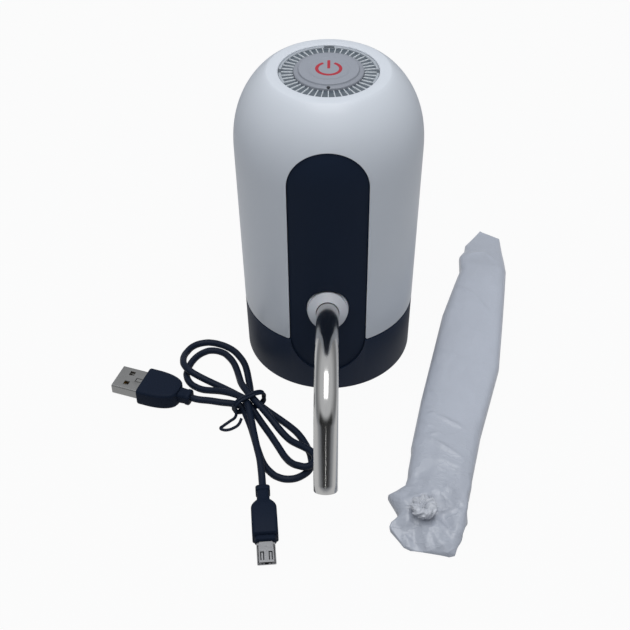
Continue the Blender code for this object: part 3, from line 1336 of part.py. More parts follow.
def usb_grip_rings():
    """The grip's sections: square shoulders, a round back, then the relief with a flange at its end."""
    start = USB_SHELL_LENGTH + GAP
    wide, tall, narrow = USB_GRIP_HALF_WIDTH, USB_GRIP_HALF_HEIGHT, USB_RELIEF_HALF_WIDTH
    sections = [(start, wide - GRIP_LEAD_IN, tall - GRIP_LEAD_IN)]
    for share in USB_GRIP_PLACE_SHARES:
        x = share * USB_GRIP_LENGTH
        back = max(0, x - USB_GRIP_STRAIGHT) / (USB_GRIP_LENGTH - USB_GRIP_STRAIGHT)
        sections.append((start + x, narrow + (wide - narrow) * math.sqrt(1 - back ** 2), tall))
    end = start + USB_GRIP_LENGTH
    flange = end + USB_FLANGE_PLACE_SHARE * USB_RELIEF_LENGTH
    thin, low = narrow - GAP, USB_RELIEF_HALF_HEIGHT - GAP
    sections += [(end, thin, low), (flange, thin, low)]
    for x in (flange + GAP, end + USB_RELIEF_LENGTH):
        sections.append((x, thin + USB_FLANGE_RISE, low + USB_FLANGE_RISE))
    return [rounded_ring(*section, GRIP_ROUND) for section in sections]


def plug_exit(frame, rings):
    """Where the cable leaves a plug's last section, and the way it leaves."""
    return frame @ Vector((rings[-1][0][0], 0, 0)), frame.to_3x3() @ Vector((1, 0, 0))


def make_usb_plug(looks):
    frame = plug_frame(USB_TIP, USB_HEADING_DEG, USB_CENTRE_Z)
    shell, room = make_plug_shell(
        "usb_shell", USB_SHELL_LENGTH, USB_SHELL_HALF_WIDTH, USB_SHELL_HALF_HEIGHT, USB_SHELL_WALL,
        USB_SHELL_FLOOR, looks["plate"],
    )
    windows = usb_windows(looks["plate"])
    cut(shell, *windows)
    half = USB_TONGUE_HALF_WIDTH
    low = USB_SHELL_WALL + GAP - USB_SHELL_HALF_HEIGHT
    end = USB_SHELL_LENGTH - USB_SHELL_FLOOR - GAP
    corners = (USB_TONGUE_SETBACK, -half, low), (end, half, low + USB_TONGUE_THICKNESS)
    tongue = block("usb_tongue", *corners, looks["tongue"])
    rings = usb_grip_rings()
    grip = lofted("usb_grip", rings, looks["black"])
    set_frame(frame, shell, room, *windows, tongue, grip)
    return plug_exit(frame, rings)


def micro_grip_rings():
    """The grip's sections: a lip at the shell, the barrel, a taper and the relief."""
    wide, tall, thin = MICRO_GRIP_HALF_WIDTH, MICRO_GRIP_HALF_HEIGHT, MICRO_RELIEF_HALF_WIDTH
    start = MICRO_SHELL_LENGTH + GAP
    lip_end = start + MICRO_LIP_LENGTH
    grip_end = lip_end + MICRO_GRIP_LENGTH
    taper_end = grip_end + MICRO_TAPER_LENGTH
    sections = [
        (start, MICRO_LIP_HALF_WIDTH, MICRO_LIP_HALF_HEIGHT),
        (lip_end, MICRO_LIP_HALF_WIDTH, MICRO_LIP_HALF_HEIGHT),
        (lip_end + GAP, wide, tall), (grip_end, wide, tall),
        (grip_end + MICRO_TAPER_LENGTH / 2, (wide + thin) / 2 + GAP, tall - GAP),
        (taper_end, thin + GAP, thin + 2 * GAP), (taper_end + GAP, thin, thin + GAP),
        (taper_end + MICRO_RELIEF_LENGTH, thin, thin),
    ]
    return [rounded_ring(*section, GRIP_ROUND) for section in sections]


def make_micro_plug(looks):
    frame = plug_frame(MICRO_TIP, MICRO_HEADING_DEG, MICRO_CENTRE_Z)
    shell, room = make_plug_shell(
        "micro_shell", MICRO_SHELL_LENGTH, MICRO_SHELL_HALF_WIDTH, MICRO_SHELL_HALF_HEIGHT,
        MICRO_SHELL_WALL, MICRO_SHELL_FLOOR, looks["plate"],
    )
    rings = micro_grip_rings()
    grip = lofted("micro_grip", rings, looks["black"])
    set_frame(frame, shell, room, grip)
    return plug_exit(frame, rings)


def waist_point(strand, layer=0):
    """Where one of the lead's five strands passes through the tie, counted across the waist."""
    across = Vector((*polar(1, WAIST_ACROSS_DEG), 0))
    middle = Vector((*WAIST, WAIST_HEIGHT + layer * WAIST_LAYER_RISE))
    return middle + (strand - 2) * WAIST_STRAND_STEP * across


def lead_route(usb_exit, usb_way, micro_exit, micro_way):
    """The lead from the USB-A plug, through two lobes on each side of the tie, to the micro-USB plug."""
    points = [usb_exit + GAP * usb_way, usb_exit + 2 * LEAD_RADIUS * usb_way, *LEAD_IN]
    points += [waist_point(0), *OUTER_LOBE, waist_point(4), *OUTER_TURN]
    points += [waist_point(2), *INNER_LOBE, waist_point(3, 1), *INNER_TURN, waist_point(1, 1), *LEAD_OUT]
    return points + [micro_exit + 3 * LEAD_RADIUS * micro_way, micro_exit + GAP * micro_way]


def least_gap(route, radius, neighbour_span):
    """The narrowest space between stretches of a tube that lie further apart along it than a span."""
    dense = smooth_route(route, radius)
    travelled = [0.0]
    for first, second in zip(dense, dense[1:]):
        travelled.append(travelled[-1] + (second - first).length)
    least, where = math.inf, None
    for i, point in enumerate(dense):
        for j in range(i + 1, len(dense)):
            if travelled[j] - travelled[i] > neighbour_span:
                space = (point - dense[j]).length - 2 * radius
                if space < least:
                    least, where = space, (point, dense[j])
    return least, where, travelled[-1]


def make_lead(looks):
    usb_exit, usb_way = make_usb_plug(looks)
    micro_exit, micro_way = make_micro_plug(looks)
    points = lead_route(usb_exit, usb_way, micro_exit, micro_way)
    tube_curve("charging_cable", smooth_route(points, LEAD_STEP), LEAD_RADIUS, looks["black"])
    gap, where, length = least_gap(points, LEAD_RADIUS, 4 * math.pi * LEAD_RADIUS)
    print(f"charging cable: length {length:.4f} m, least gap to itself {1000 * gap:.2f} mm at {where}")


def make_tie(looks):
    """A wire wound round the waist, with one end in a small loop on the table."""
    clear = LEAD_RADIUS + GAP + TIE_WIRE_RADIUS
    half_width = 2 * WAIST_STRAND_STEP + clear + TIE_SLACK
    half_height = WAIST_LAYER_RISE / 2 + clear + GAP
    across = Vector((*polar(1, WAIST_ACROSS_DEG), 0))
    along = Vector((*polar(1, WAIST_ACROSS_DEG - 90), 0))
    centre = Vector((*WAIST, WAIST_HEIGHT + WAIST_LAYER_RISE / 2)) + TIE_SHIFT * along
    turns = []
    for place in range(TIE_TURNS * TIE_TURN_POINTS + 1):
        turn = math.tau * place / TIE_TURN_POINTS - math.pi
        cos, sin = math.cos(turn), math.sin(turn)
        flat = (cos ** TIE_SQUARE_POWER + sin ** TIE_SQUARE_POWER) ** (1 / TIE_SQUARE_POWER)
        section = (half_width * cos * across + Vector((0, 0, half_height * sin))) / flat
        shift = TIE_PITCH * (place / TIE_TURN_POINTS - TIE_TURNS / 2)
        turns.append(centre + section + shift * along)
    tail = smooth_route([turns[-1], *TIE_TAIL], 4 * TIE_WIRE_RADIUS)
    tube_curve("cable_tie", turns + tail[1:], TIE_WIRE_RADIUS, looks["black"])


def bag_frame():
    head = Vector((*BAG_HEAD, 0))
    mouth = Vector((*BAG_MOUTH, 0))
    forward = (mouth - head).normalized()
    return head, forward, Vector((-forward.y, forward.x, 0)), (mouth - head).length


def bag_ring(along, width, height, inset):
    """A flattened round section of the bag, lying on the table, at a distance along it."""
    head, forward, across, _ = bag_frame()
    half_width, half_height = width / 2 - inset, height / 2 - inset
    ring = []
    for k in range(BAG_SIDES):
        turn = math.tau * (k + 0.5) / BAG_SIDES
        cos, sin = math.cos(turn), math.sin(turn)
        flat = (abs(cos) ** BAG_SQUARE_POWER + abs(sin) ** BAG_SQUARE_POWER) ** (1 / BAG_SQUARE_POWER)
        side = across * half_width * cos / flat
        ring.append(head + forward * along + side + Vector((0, 0, height / 2 + half_height * sin / flat)))
    return ring


def bag_sections():
    """(distance, width, height) along the bag and on through its gathered tail."""
    length = bag_frame()[3]
    for along, wide, tall in zip(BAG_LENGTH_SHARES, BAG_WIDTH_SHARES, BAG_HEIGHT_SHARES):
        yield along * length, wide * BAG_WIDTH, tall * BAG_HEIGHT
    for along, wide, tall in zip(TAIL_LENGTH_SHARES, TAIL_WIDTH_SHARES, TAIL_HEIGHT_SHARES):
        yield length + along * TAIL_LENGTH, wide * BAG_WIDTH, tall * BAG_HEIGHT


def make_bag(looks):
    """The film bag with its knot; its mouth stays open at the tail's end."""
    outer, inner = [], []
    for along, wide, tall in bag_sections():
        outer.append(bag_ring(along, wide, tall, 0))
        inner.append(bag_ring(max(along, 2 * BAG_WALL), wide, tall, BAG_WALL))
    bag = hollow_loft("hose_bag", outer, inner, looks["film"], closed_start=True)
    head, forward, across, length = bag_frame()
    place = head + forward * (length + KNOT_PLACE_SHARE * TAIL_LENGTH)
    place += across * KNOT_SIDE_SHARE * BAG_WIDTH
    low = KNOT_HEIGHT - KNOT_DEPTH
    knot = cylinder("knot", KNOT_RADIUS, low, KNOT_HEIGHT, looks["film"], (place.x, place.y), SMALL_STEPS)
    join(bag, knot)


def make_hose(looks):
    """The suction hose, folded to and fro in the bag."""
    head, forward, across, length = bag_frame()
    level = Vector((0, 0, BAG_HEIGHT / 2))
    bend = HOSE_RUN_PITCH / 2
    near = HOSE_START_SHARE * length + bend
    far = HOSE_END_SHARE * length - bend
    route = []
    for run in range(HOSE_RUNS):
        offset = (run - (HOSE_RUNS - 1) / 2) * HOSE_RUN_PITCH
        start, end = (near, far) if run % 2 == 0 else (far, near)
        beside = head + across * offset + level
        route += [beside + forward * start, beside + forward * end]
        if run == HOSE_RUNS - 1:
            break
        way = 1 if run % 2 == 0 else -1
        for step in range(1, HOSE_BEND_STEPS):
            turn = math.pi * step / HOSE_BEND_STEPS
            route.append(
                head + forward * (end + way * bend * math.sin(turn))
                + across * (offset + bend * (1 - math.cos(turn))) + level
            )
    hollow_tube("suction_hose", route, HOSE_RADIUS, HOSE_BORE_RADIUS, HOSE_SIDES, looks["silicone"])


def main():
    clear_scene()
    looks = make_materials()
    make_shell(looks)
    make_panel(looks)
    make_base(looks)
    make_base_screws(looks)
    make_neck_gasket(looks)
    make_nipple(looks)
    make_chassis(looks)
    battery_top = make_battery(looks)
    make_pump_head(looks)
    make_pump_screws(looks)
    shaft_seat = make_pump_works(looks)
    make_motor(looks, shaft_seat)
    make_charge_board(looks)
    make_collar(looks)
    stub = make_socket(looks)
    make_spout(looks)
    make_inner_tubes(looks, stub)
    make_light_ring(looks)
    button_roof = make_button(looks)
    make_switch_board(looks, button_roof)
    make_wires(looks, battery_top)
    make_lead(looks)
    make_tie(looks)
    make_bag(looks)
    make_hose(looks)


main()
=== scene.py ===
"""The looks of the bottled water pump, its charging lead and its bagged hose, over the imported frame."""

import math

import bpy
from mathutils import Matrix, Vector, noise


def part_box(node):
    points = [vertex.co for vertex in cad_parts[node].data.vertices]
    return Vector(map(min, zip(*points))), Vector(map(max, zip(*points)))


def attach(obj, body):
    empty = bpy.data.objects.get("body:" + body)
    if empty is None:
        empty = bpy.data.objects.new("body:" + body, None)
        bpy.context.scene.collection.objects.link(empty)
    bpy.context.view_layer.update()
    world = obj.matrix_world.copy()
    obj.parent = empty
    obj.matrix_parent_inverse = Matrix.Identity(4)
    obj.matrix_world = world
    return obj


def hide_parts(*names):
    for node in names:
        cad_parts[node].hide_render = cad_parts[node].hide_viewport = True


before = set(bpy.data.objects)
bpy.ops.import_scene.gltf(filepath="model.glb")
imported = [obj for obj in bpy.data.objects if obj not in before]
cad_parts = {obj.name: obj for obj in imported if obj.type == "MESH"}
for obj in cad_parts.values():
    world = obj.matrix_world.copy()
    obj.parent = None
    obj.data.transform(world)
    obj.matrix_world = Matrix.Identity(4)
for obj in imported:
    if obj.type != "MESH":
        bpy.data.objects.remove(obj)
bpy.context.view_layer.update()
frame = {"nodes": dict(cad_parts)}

bl_info = {
    "name": "Bottled water pump",
    "version": (1, 0, 0),
    "blender": (4, 5, 0),
    "location": "3D View > Sidebar > Water pump",
    "description": "Builds the pump, its charging lead and its bagged hose over the packed frame",
    "category": "Object",
}

# Every finish's material, by its name
LOOKS = {}
# Where an outline is pushed to: the front, the back, or out along X with its own Y upwards
FRONT = Matrix.Rotation(math.pi / 2, 4, "X")
BACK = Matrix.Rotation(-math.pi / 2, 4, "X")
OUTWARD = Matrix(((0, 0, 1, 0), (1, 0, 0, 0), (0, 1, 0, 0), (0, 0, 0, 1)))
# The step that keeps two faces out of one plane, and the roundings of moulded edges
HAIR = 0.0001
FINE_EDGE = 0.0002
SOFT_EDGE = 0.0003


# Values that a user would change

def tint(red, green, blue):
    """A colour as a screen shows it, 0 to 255, as the linear values that a shader takes."""
    shares = [value / 255 for value in (red, green, blue)]
    return [share / 12.92 if share <= 0.04045 else ((share + 0.055) / 1.055) ** 2.4 for share in shares]


def positive(name, description, default, **settings):
    return bpy.props.FloatProperty(name=name, description=description, default=default, min=0.0, **settings)


def distance(name, description, default):
    return positive(name, description, default, unit="LENGTH", precision=5)


def share(name, description, default):
    return positive(name, description, default, max=1.0)


def power(name, description, default):
    return positive(name, description, default, unit="POWER")


def place(name, description, default):
    return bpy.props.FloatVectorProperty(
        name=name, description=description, default=default, size=len(default), unit="LENGTH", precision=5,
    )


def degrees(name, description, default):
    turn = math.radians(default)
    return bpy.props.FloatProperty(name=name, description=description, default=turn, subtype="ANGLE")


def count(name, description, default):
    return bpy.props.IntProperty(name=name, description=description, default=default, min=1)


def colour(name, description, red, green, blue):
    return bpy.props.FloatVectorProperty(
        name=name, description=description, default=tint(red, green, blue), size=3, min=0.0, max=1.0,
        subtype="COLOR",
    )


class BodySizes(bpy.types.PropertyGroup):
    round_steps: count("Steps round", "Steps round the drum", 144)
    clearance: distance("Clearance", "Gap between neighbouring pieces", 0.0003)
    base_radius: distance("Base radius", "Radius of the drum at the table", 0.0339)
    shoulder_radius: distance("Shoulder radius", "Radius of the drum under its dome", 0.03565)
    shoulder_height: distance("Shoulder height", "Where the dome starts", 0.0976)
    height: distance("Height", "Height of the whole body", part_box("outer_shell")[1].z)
    dome_top_radius: distance("Dome flat", "Radius at which the dome turns flat", 0.0225)
    dome_side_power: positive("Dome side power", "How fast the dome draws in", 1.24)
    dome_rise_power: positive("Dome rise power", "How fast the dome rises", 2.33)
    seam_height: distance("Seam height", "Where the white shell meets the black base", 0.0248)
    wall: distance("Shell wall", "Thickness of the white shell", 0.0022)
    edge: distance("Edge rounding", "Rounding of the shell's open edges", 0.0004)
    slot_edge: distance("Slot edge", "Rounding of the shell's edge round the panel", 0.00035)
    panel_edge: distance("Panel edge", "Rounding of the panel's edge", 0.00012)
    panel_gap: distance("Panel gap", "Gap between the panel and the base", 0.00006)
    corner: distance("Shell corner", "Rounding of the shell's lower corners beside the panel", 0.0015)
    top_hole_radius: distance("Top hole radius", "Hole that the light ring sits in", 0.0183)
    panel_half_width: distance("Panel half width", "Half the width of the black panel", 0.01465)
    panel_top: distance("Panel top", "Height of the panel's round top", 0.11365)
    panel_bottom: distance("Panel bottom", "Height of the panel's round foot", 0.0105)
    panel_recess: distance("Panel recess", "How deep the panel lies in the shell", 0.0006)
    panel_thickness: distance("Panel thickness", "Thickness of the panel", 0.002)
    port_half_width: distance("Port half width", "Half the width of the charging port", 0.0039)
    port_half_height: distance("Port half height", "Half the height of the charging port", 0.0015)
    port_height: distance("Port height", "Height of the charging port's middle", 0.037)


class BaseSizes(bpy.types.PropertyGroup):
    neck_radius: distance("Neck radius", "Bore that takes the bottle's neck", 0.029)
    ceiling_low: distance("Ceiling underside", "Underside of the cavity's ceiling", 0.0225)
    ceiling_high: distance("Ceiling top", "Top of the cavity's ceiling", 0.0255)
    spigot_height: distance("Spigot height", "Height of the rim that the shell slips over", 0.0035)
    spigot_wall: distance("Spigot wall", "Thickness of that rim", 0.0018)
    foot_edge: distance("Foot edge", "Rounding of the base's lower edge", 0.0009)
    nipple_hole: distance("Nipple hole", "Radius of the hole for the intake nipple", 0.0036)
    screw_pitch_radius: distance("Screw pitch radius", "Distance of the screws from the axis", 0.0266)
    screw_head_radius: distance("Screw head radius", "Radius of a base screw's head", 0.0026)
    screw_head_height: distance("Screw head height", "Height of a base screw's head", 0.0014)
    screw_radius: distance("Screw radius", "Radius of a base screw", 0.0012)
    screw_length: distance("Screw length", "Length of a base screw", 0.010)
    post_radius: distance("Post radius", "Outer radius of the posts that take the screws", 0.003)
    post_top: distance("Post top", "Height of those posts' tops", 0.04)
    gasket_inner_radius: distance("Gasket bore", "Inner radius of the neck gasket", 0.0225)
    gasket_thickness: distance("Gasket thickness", "Thickness of the neck gasket", 0.0022)
    nipple_radius: distance("Nipple radius", "Radius between the nipple's barbs", 0.0029)
    nipple_barb_radius: distance("Barb radius", "Radius of the nipple's barbs", 0.0033)
    nipple_bore: distance("Nipple bore", "Radius of the nipple's bore", 0.0016)
    nipple_drop: distance("Nipple drop", "How far the nipple hangs below the ceiling's top", 0.0165)
    barb_pitch: distance("Barb pitch", "Distance between barbs", 0.0035)


class TopSizes(bpy.types.PropertyGroup):
    ring_steps: count("Steps round", "Steps round the light ring and the button", 132)
    ring_sink: distance("Ring sink", "How far the light ring lies below the dome's top", 0.0004)
    ring_radius: distance("Ring radius", "Outer radius of the light ring", 0.0182)
    ring_rim: distance("Ring rim", "Width of the ring's outer rim", 0.0010)
    band_sink: distance("Band sink", "How deep the ribbed band lies in the ring", 0.0007)
    web: distance("Ring web", "Thickness under the ribbed band", 0.0018)
    sleeve_wall: distance("Sleeve wall", "Thickness of the sleeve round the button", 0.0011)
    sleeve_depth: distance("Sleeve depth", "Depth of that sleeve", 0.0075)
    flange_radius: distance("Flange radius", "Radius of the flange under the shell", 0.0208)
    flange: distance("Flange", "Thickness of that flange", 0.002)
    skirt_wall: distance("Skirt wall", "Wall of the skirt that holds the switch board", 0.0016)
    skirt_depth: distance("Skirt depth", "Depth of that skirt", 0.0125)
    seat: distance("Board seat", "Ledge that the switch board rests on", 0.0012)
    front: degrees("Ring front", "Half the opening of the rim at the ring's front", 62)
    ribs: count("Ribs", "Ribs across the light ring's band", 44)
    rib_width: distance("Rib width", "Width of a rib at its root", 0.00046)
    rib_sink: distance("Rib sink", "How far a rib's top lies below the ring's top", 0.00025)
    rib_gap: distance("Rib gap", "Gap between the ribs and the button", 0.00012)
    back_tab: distance("Back tab", "Width of the tab at the back of the ring's rim", 0.0040)
    side_tab: distance("Side tab", "Width of the tabs at the rim's sides", 0.0024)
    button_radius: distance("Button radius", "Outer radius of the button", 0.01285)
    button_rise: distance("Button rise", "How far the button stands above the dome's top", 0.0007)
    button_flat: distance("Button flat", "Radius of the button's flat middle", 0.0109)
    button_step: distance("Button step", "Depth of the step round that flat", 0.0006)
    button_edge: distance("Button edge", "Rounding of the button's edge", 0.0006)
    button_top_wall: distance("Button roof", "Thickness of the button's top", 0.0016)
    button_wall: distance("Button wall", "Thickness of the button's side", 0.0014)
    button_lip: distance("Button lip", "How far the lip that keeps the button in stands out", 0.0009)
    dish_radius: distance("Dish radius", "Radius of the shallow dish round the symbol", 0.0074)
    dish_depth: distance("Dish depth", "Depth of that dish", 0.00035)
    # The button's front notch is drawn as a dark disc of painted shade
    notch_shade_radius: distance("Mark radius", "Radius of the dark mark at the button's front", 0.00068)
    symbol_shift: distance("Symbol shift", "How far the symbol lies behind the button's middle", 0.0004)
    symbol_radius: distance("Symbol radius", "Outer radius of the power symbol", 0.0049)
    symbol_stroke: distance("Symbol stroke", "Width of the power symbol's lines", 0.0012)
    symbol_bar: distance("Symbol bar", "Length of the power symbol's bar", 0.0059)
    symbol_gap: degrees("Symbol gap", "Half the opening of the power symbol's ring", 28)


class SpoutSizes(bpy.types.PropertyGroup):
    outlet_height: distance("Outlet height", "Where the spout's axis leaves the panel", 0.0438)
    rise: degrees("Rise", "How steeply the spout rises from the panel", 20)
    collar_radius: distance("Collar radius", "Outer radius of the silicone collar", 0.00795)
    collar_side: distance("Collar side", "How far the collar's round side stands out", 0.0030)
    collar_face: distance("Collar face", "How far its sloping face stands out at the spout", 0.0054)
    collar_round: distance("Collar rounding", "Rounding of the collar's edge", 0.0004)
    collar_back: distance("Collar back", "How far the collar reaches inside", 0.0094)
    lip_radius: distance("Lip radius", "Radius of the collar's inner lip", 0.0092)
    lip: distance("Lip", "Thickness of that lip", 0.002)
    radius: distance("Spout radius", "Outer radius of the steel spout", 0.00425)
    wall: distance("Spout wall", "Wall of the steel spout", 0.0006)
    inner_length: distance("Inner length", "How much of the spout is inside the pump", 0.0174)
    straight: distance("Straight", "Straight part of the spout outside", 0.034)
    ease_radius: distance("Easy bend radius", "Radius of the spout's first, easy bend", 0.035)
    ease: degrees("Easy bend", "How far the spout turns in that bend", 40)
    bend_radius: distance("Bend radius", "Radius of the spout's second bend", 0.015)
    fall: degrees("Fall", "How steeply the spout falls at its tip", 63.4)
    last_leg: distance("Last leg", "Straight part after the bends", 0.0248)
    sides: count("Sides", "Sides of the spout's section", 64)


class LeadSizes(bpy.types.PropertyGroup):
    radius: distance("Cable radius", "Radius of the charging cable", 0.0014)
    step: distance("Cable step", "Distance between points along the cable", 0.0038)
    tie_radius: distance("Tie radius", "Radius of the tie's wire", 0.0006)
    usb_tip: place("Large plug tip", "Where the large plug's tip lies", (-0.0852, -0.0331, 0.004))
    usb_heading: degrees("Large plug heading", "Heading from the plug's tip to its cable", -18.5)
    usb_half_width: distance("Large shell half width", "Half the width of the plug's metal shell", 0.006)
    usb_half_height: distance("Large shell half height", "Half the height of that shell", 0.00225)
    usb_wall: distance("Large shell wall", "Sheet thickness of that shell", 0.0004)
    usb_length: distance("Large shell length", "Length of that shell", 0.011)
    usb_window: distance("Window", "Side of a square window in the shell", 0.0022)
    usb_window_offset: distance("Window offset", "Distance of a window from the middle line", 0.0028)
    usb_window_setback: distance("Window setback", "Distance of a window from the tip", 0.0052)
    usb_grip_half_width: distance("Large grip half width", "Half the width of the large plug's grip", 0.0074)
    usb_grip_half_height: distance("Large grip half height", "Half the height of that grip", 0.0039)
    usb_grip_length: distance("Large grip length", "Length of that grip", 0.016)
    usb_grip_straight: distance("Large grip straight", "Straight part of that grip", 0.0045)
    usb_relief_half_width: distance("Large relief half width", "Half the width of the strain relief", 0.0029)
    usb_relief_half_height: distance("Large relief half height", "Half the height of that relief", 0.0026)
    usb_relief_length: distance("Large relief length", "Length of the strain relief", 0.005)
    micro_tip: place("Small plug tip", "Where the small plug's tip lies", (-0.0204, -0.1238, 0.0036))
    micro_heading: degrees("Small plug heading", "Heading from the plug's tip to its cable", 95.4)
    micro_half_width: distance("Small shell half width", "Half the width of the small plug's shell", 0.0034)
    micro_half_height: distance("Small shell half height", "Half the height of that shell", 0.001)
    micro_wall: distance("Small shell wall", "Sheet thickness of that shell", 0.0003)
    micro_length: distance("Small shell length", "Length of that shell", 0.0088)
    micro_lip_half_width: distance("Small lip half width", "Half the width of the grip's lip", 0.0039)
    micro_lip_half_height: distance("Small lip half height", "Half the height of that lip", 0.0019)
    micro_lip_length: distance("Small lip length", "Length of that lip", 0.002)
    micro_grip_half_width: distance("Small grip half width", "Half the width of the plug's grip", 0.0047)
    micro_grip_half_height: distance("Small grip half height", "Half the height of that grip", 0.0035)
    micro_grip_length: distance("Small grip length", "Length of that grip", 0.013)
    micro_taper: distance("Small taper", "Length over which the grip narrows", 0.0035)
    micro_relief: distance("Small relief", "Length of the small plug's strain relief", 0.0065)
    micro_relief_half_width: distance("Small relief half width", "Half the width of that relief", 0.0024)


class BagSizes(bpy.types.PropertyGroup):
    head: place("Head", "Where the bag's far end lies", (0.0731, 0.066))
    mouth: place("Mouth", "Where the bag is gathered", (0.0418, -0.0980))
    height: distance("Height", "Height of the filled bag", 0.011)
    square_power: positive("Section power", "How square the bag's section is", 3.4)
    rows: count("Rows", "Rows along the bag", 380)
    columns: count("Columns", "Columns round the bag", 176)
    crumple: distance("Crumple", "How high the tail's folds stand", 0.0026)
    ripple: distance("Ripple", "How high the film's ripples stand", 0.00028)
    knot_radius: distance("Knot radius", "Radius of the twisted knot", 0.0046)
    knot_top: distance("Knot top", "Height of the knot's top", 0.0114)
    hose_radius: distance("Hose radius", "Outer radius of the suction hose", 0.0034)
    hose_bore: distance("Hose bore", "Radius of the hose's bore", 0.0025)
    hose_pitch: distance("Hose pitch", "Distance between the hose's runs", 0.00715)
    hose_shift: distance("Hose shift", "How far the hose lies left of the bag's middle", 0.0006)
    hose_runs: count("Hose runs", "How often the hose runs along the bag", 3)
    hose_start: share("Hose start", "Where the hose starts along the bag", 0.30)
    hose_end: share("Hose end", "Where the hose turns near the mouth", 0.91)


class Finishes(bpy.types.PropertyGroup):
    shell: colour("White shell", "Satin white plastic", 205, 211, 219)
    panel: colour("Black panel", "Matt black plastic", 27, 37, 54)
    base: colour("Black base", "Black plastic of the base", 24, 36, 56)
    silicone: colour("White silicone", "Collar and gasket", 186, 189, 196)
    steel: colour("Polished steel", "The spout", 206, 205, 203)
    plate: colour("Plated steel", "Large plug, screws and motor", 154, 154, 153)
    bright_plate: colour("Bright plate", "Small plug", 186, 186, 188)
    gold: colour("Gold", "Contacts in the large plug", 214, 170, 86)
    ring: colour("Light ring", "Clear grey plastic", 162, 169, 177)
    rib: colour("Ring ribs", "Bright ribs of the light ring", 202, 208, 214)
    # The band's dark colour is painted shade, for the grooves between the ribs
    band: colour("Ring band", "Dark floor between the ribs", 80, 90, 99)
    tab: colour("Ring tabs", "Flat tabs on the light ring's rim", 84, 92, 100)
    button: colour("Button", "Satin grey plastic", 143, 148, 158)
    symbol: colour("Power symbol", "Red ink", 168, 30, 48)
    # Painted shade for the notch at the button's front, and the small plug's own dark tongue
    dark: colour("Dark mark", "The button's small mark and the small plug's tongue", 30, 33, 40)
    rubber: colour("Black rubber", "Cable, grips and tie", 20, 29, 45)
    tongue: colour("Plug tongue", "White plastic in the plug", 196, 196, 190)
    film: colour("Milky film", "The hose's bag", 179, 185, 197)
    knot: colour("Film knot", "Film where it is twisted", 184, 188, 196)
    hose: colour("Suction hose", "Milky silicone hose", 206, 208, 210)
    frame: colour("Grey frame", "Plastic of the chassis and the pump head", 146, 148, 150)
    board: colour("Green board", "Circuit boards", 24, 92, 52)
    sleeve: colour("Blue sleeve", "Shrink sleeve of the battery cell", 38, 82, 156)
    copper: colour("Copper", "Windings of the motor", 168, 92, 50)
    wire_red: colour("Red wire", "Insulated wires", 176, 34, 32)
    wire_black: colour("Black wire", "Insulated wires", 28, 28, 32)
    lens: colour("Lamp lens", "Small lamps under the ring", 226, 226, 214)


class StageSettings(bpy.types.PropertyGroup):
    camera_place: place("Camera place", "Where the photograph was taken from", (0.00327, -0.38118, 0.34712))
    lens: positive("Lens", "Focal length on a 36 mm sensor", 68.69, unit="CAMERA")
    floor: colour("Floor", "Pale floor", 152, 154, 158)
    floor_side: distance("Floor side", "Side of the square floor", 8.0)
    floor_glow: share("Floor glow", "How far the floor is lifted to white for the camera", 0.95)
    mirror_glow: share("Mirror glow", "The same for what is mirrored near the pump", 0.52)
    high_sky: positive("High sky", "Light from above, all round", 0.65)
    low_sky: positive("Low sky", "Light from low down, all round", 0.28)
    front_sky: positive("Front sky", "Light from low down behind the camera", 0.03)
    key: power("Key lamp", "The broad lamp overhead", 4.3)
    fill: power("Fill lamp", "The wide lamp above the camera", 2.3)
    glint: power("Glint lamp", "The narrow lamp behind the camera", 0.04)


GROUPS = {
    "pump_body": BodySizes, "pump_base": BaseSizes, "pump_top": TopSizes, "pump_spout": SpoutSizes,
    "pump_lead": LeadSizes, "pump_bag": BagSizes, "pump_finishes": Finishes, "pump_stage": StageSettings,
}


def values(name):
    return getattr(bpy.context.scene, "pump_" + name)


# Modelling steps shared by the pieces

def nothing_selected():
    if bpy.context.mode != "OBJECT":
        bpy.ops.object.mode_set(mode="OBJECT")
    bpy.ops.object.select_all(action="DESELECT")


def only(piece):
    """Leaves one piece selected and active."""
    nothing_selected()
    piece.select_set(True)
    bpy.context.view_layer.objects.active = piece


def added(name, primitive, **sizes):
    """A new object by one of Blender's own add steps, with its name."""
    nothing_selected()
    primitive(**sizes)
    piece = bpy.context.object
    piece.name = piece.data.name = name
    return piece


class Editing:
    """Edit mode on one piece, with all of it selected at the start."""

    def __init__(self, piece):
        self.piece = piece

    def __enter__(self):
        only(self.piece)
        bpy.ops.object.mode_set(mode="EDIT")
        bpy.ops.mesh.select_mode(type="VERT")
        bpy.ops.mesh.select_all(action="SELECT")
        return self

    def __exit__(self, *fault):
        bpy.ops.object.mode_set(mode="OBJECT")

    def tidy(self, within=1e-6):
        """Merges doubles and turns every face outwards."""
        bpy.ops.mesh.select_all(action="SELECT")
        bpy.ops.mesh.remove_doubles(threshold=within)
        bpy.ops.mesh.normals_make_consistent(inside=False)


def apply_modifier(piece, kind, **settings):
    modifier = piece.modifiers.new(kind.title(), kind)
    for name, value in settings.items():
        setattr(modifier, name, value)
    only(piece)
    bpy.ops.object.modifier_apply(modifier=modifier.name)
    return piece


def smoothed(piece, angle_deg=32):
    only(piece)
    bpy.ops.object.shade_smooth_by_angle(angle=math.radians(angle_deg), keep_sharp_edges=True)
    return piece


def bevelled(piece, width, segments=2, angle_deg=40):
    return apply_modifier(
        piece, "BEVEL", width=width, segments=segments, limit_method="ANGLE",
        angle_limit=math.radians(angle_deg), use_clamp_overlap=True,
    )


def placed(piece, matrix):
    """Sets a piece down in a frame and keeps that place in its mesh."""
    only(piece)
    piece.matrix_world = matrix
    bpy.ops.object.transform_apply(location=True, rotation=True, scale=True)
    return piece


def boolean(piece, other, operation="DIFFERENCE"):
    apply_modifier(piece, "BOOLEAN", object=other, operation=operation, solver="EXACT")
    bpy.data.objects.remove(other)
    return piece


def joined(first, *others):
    only(first)
    for other in others:
        other.select_set(True)
    bpy.ops.object.join()
    return first


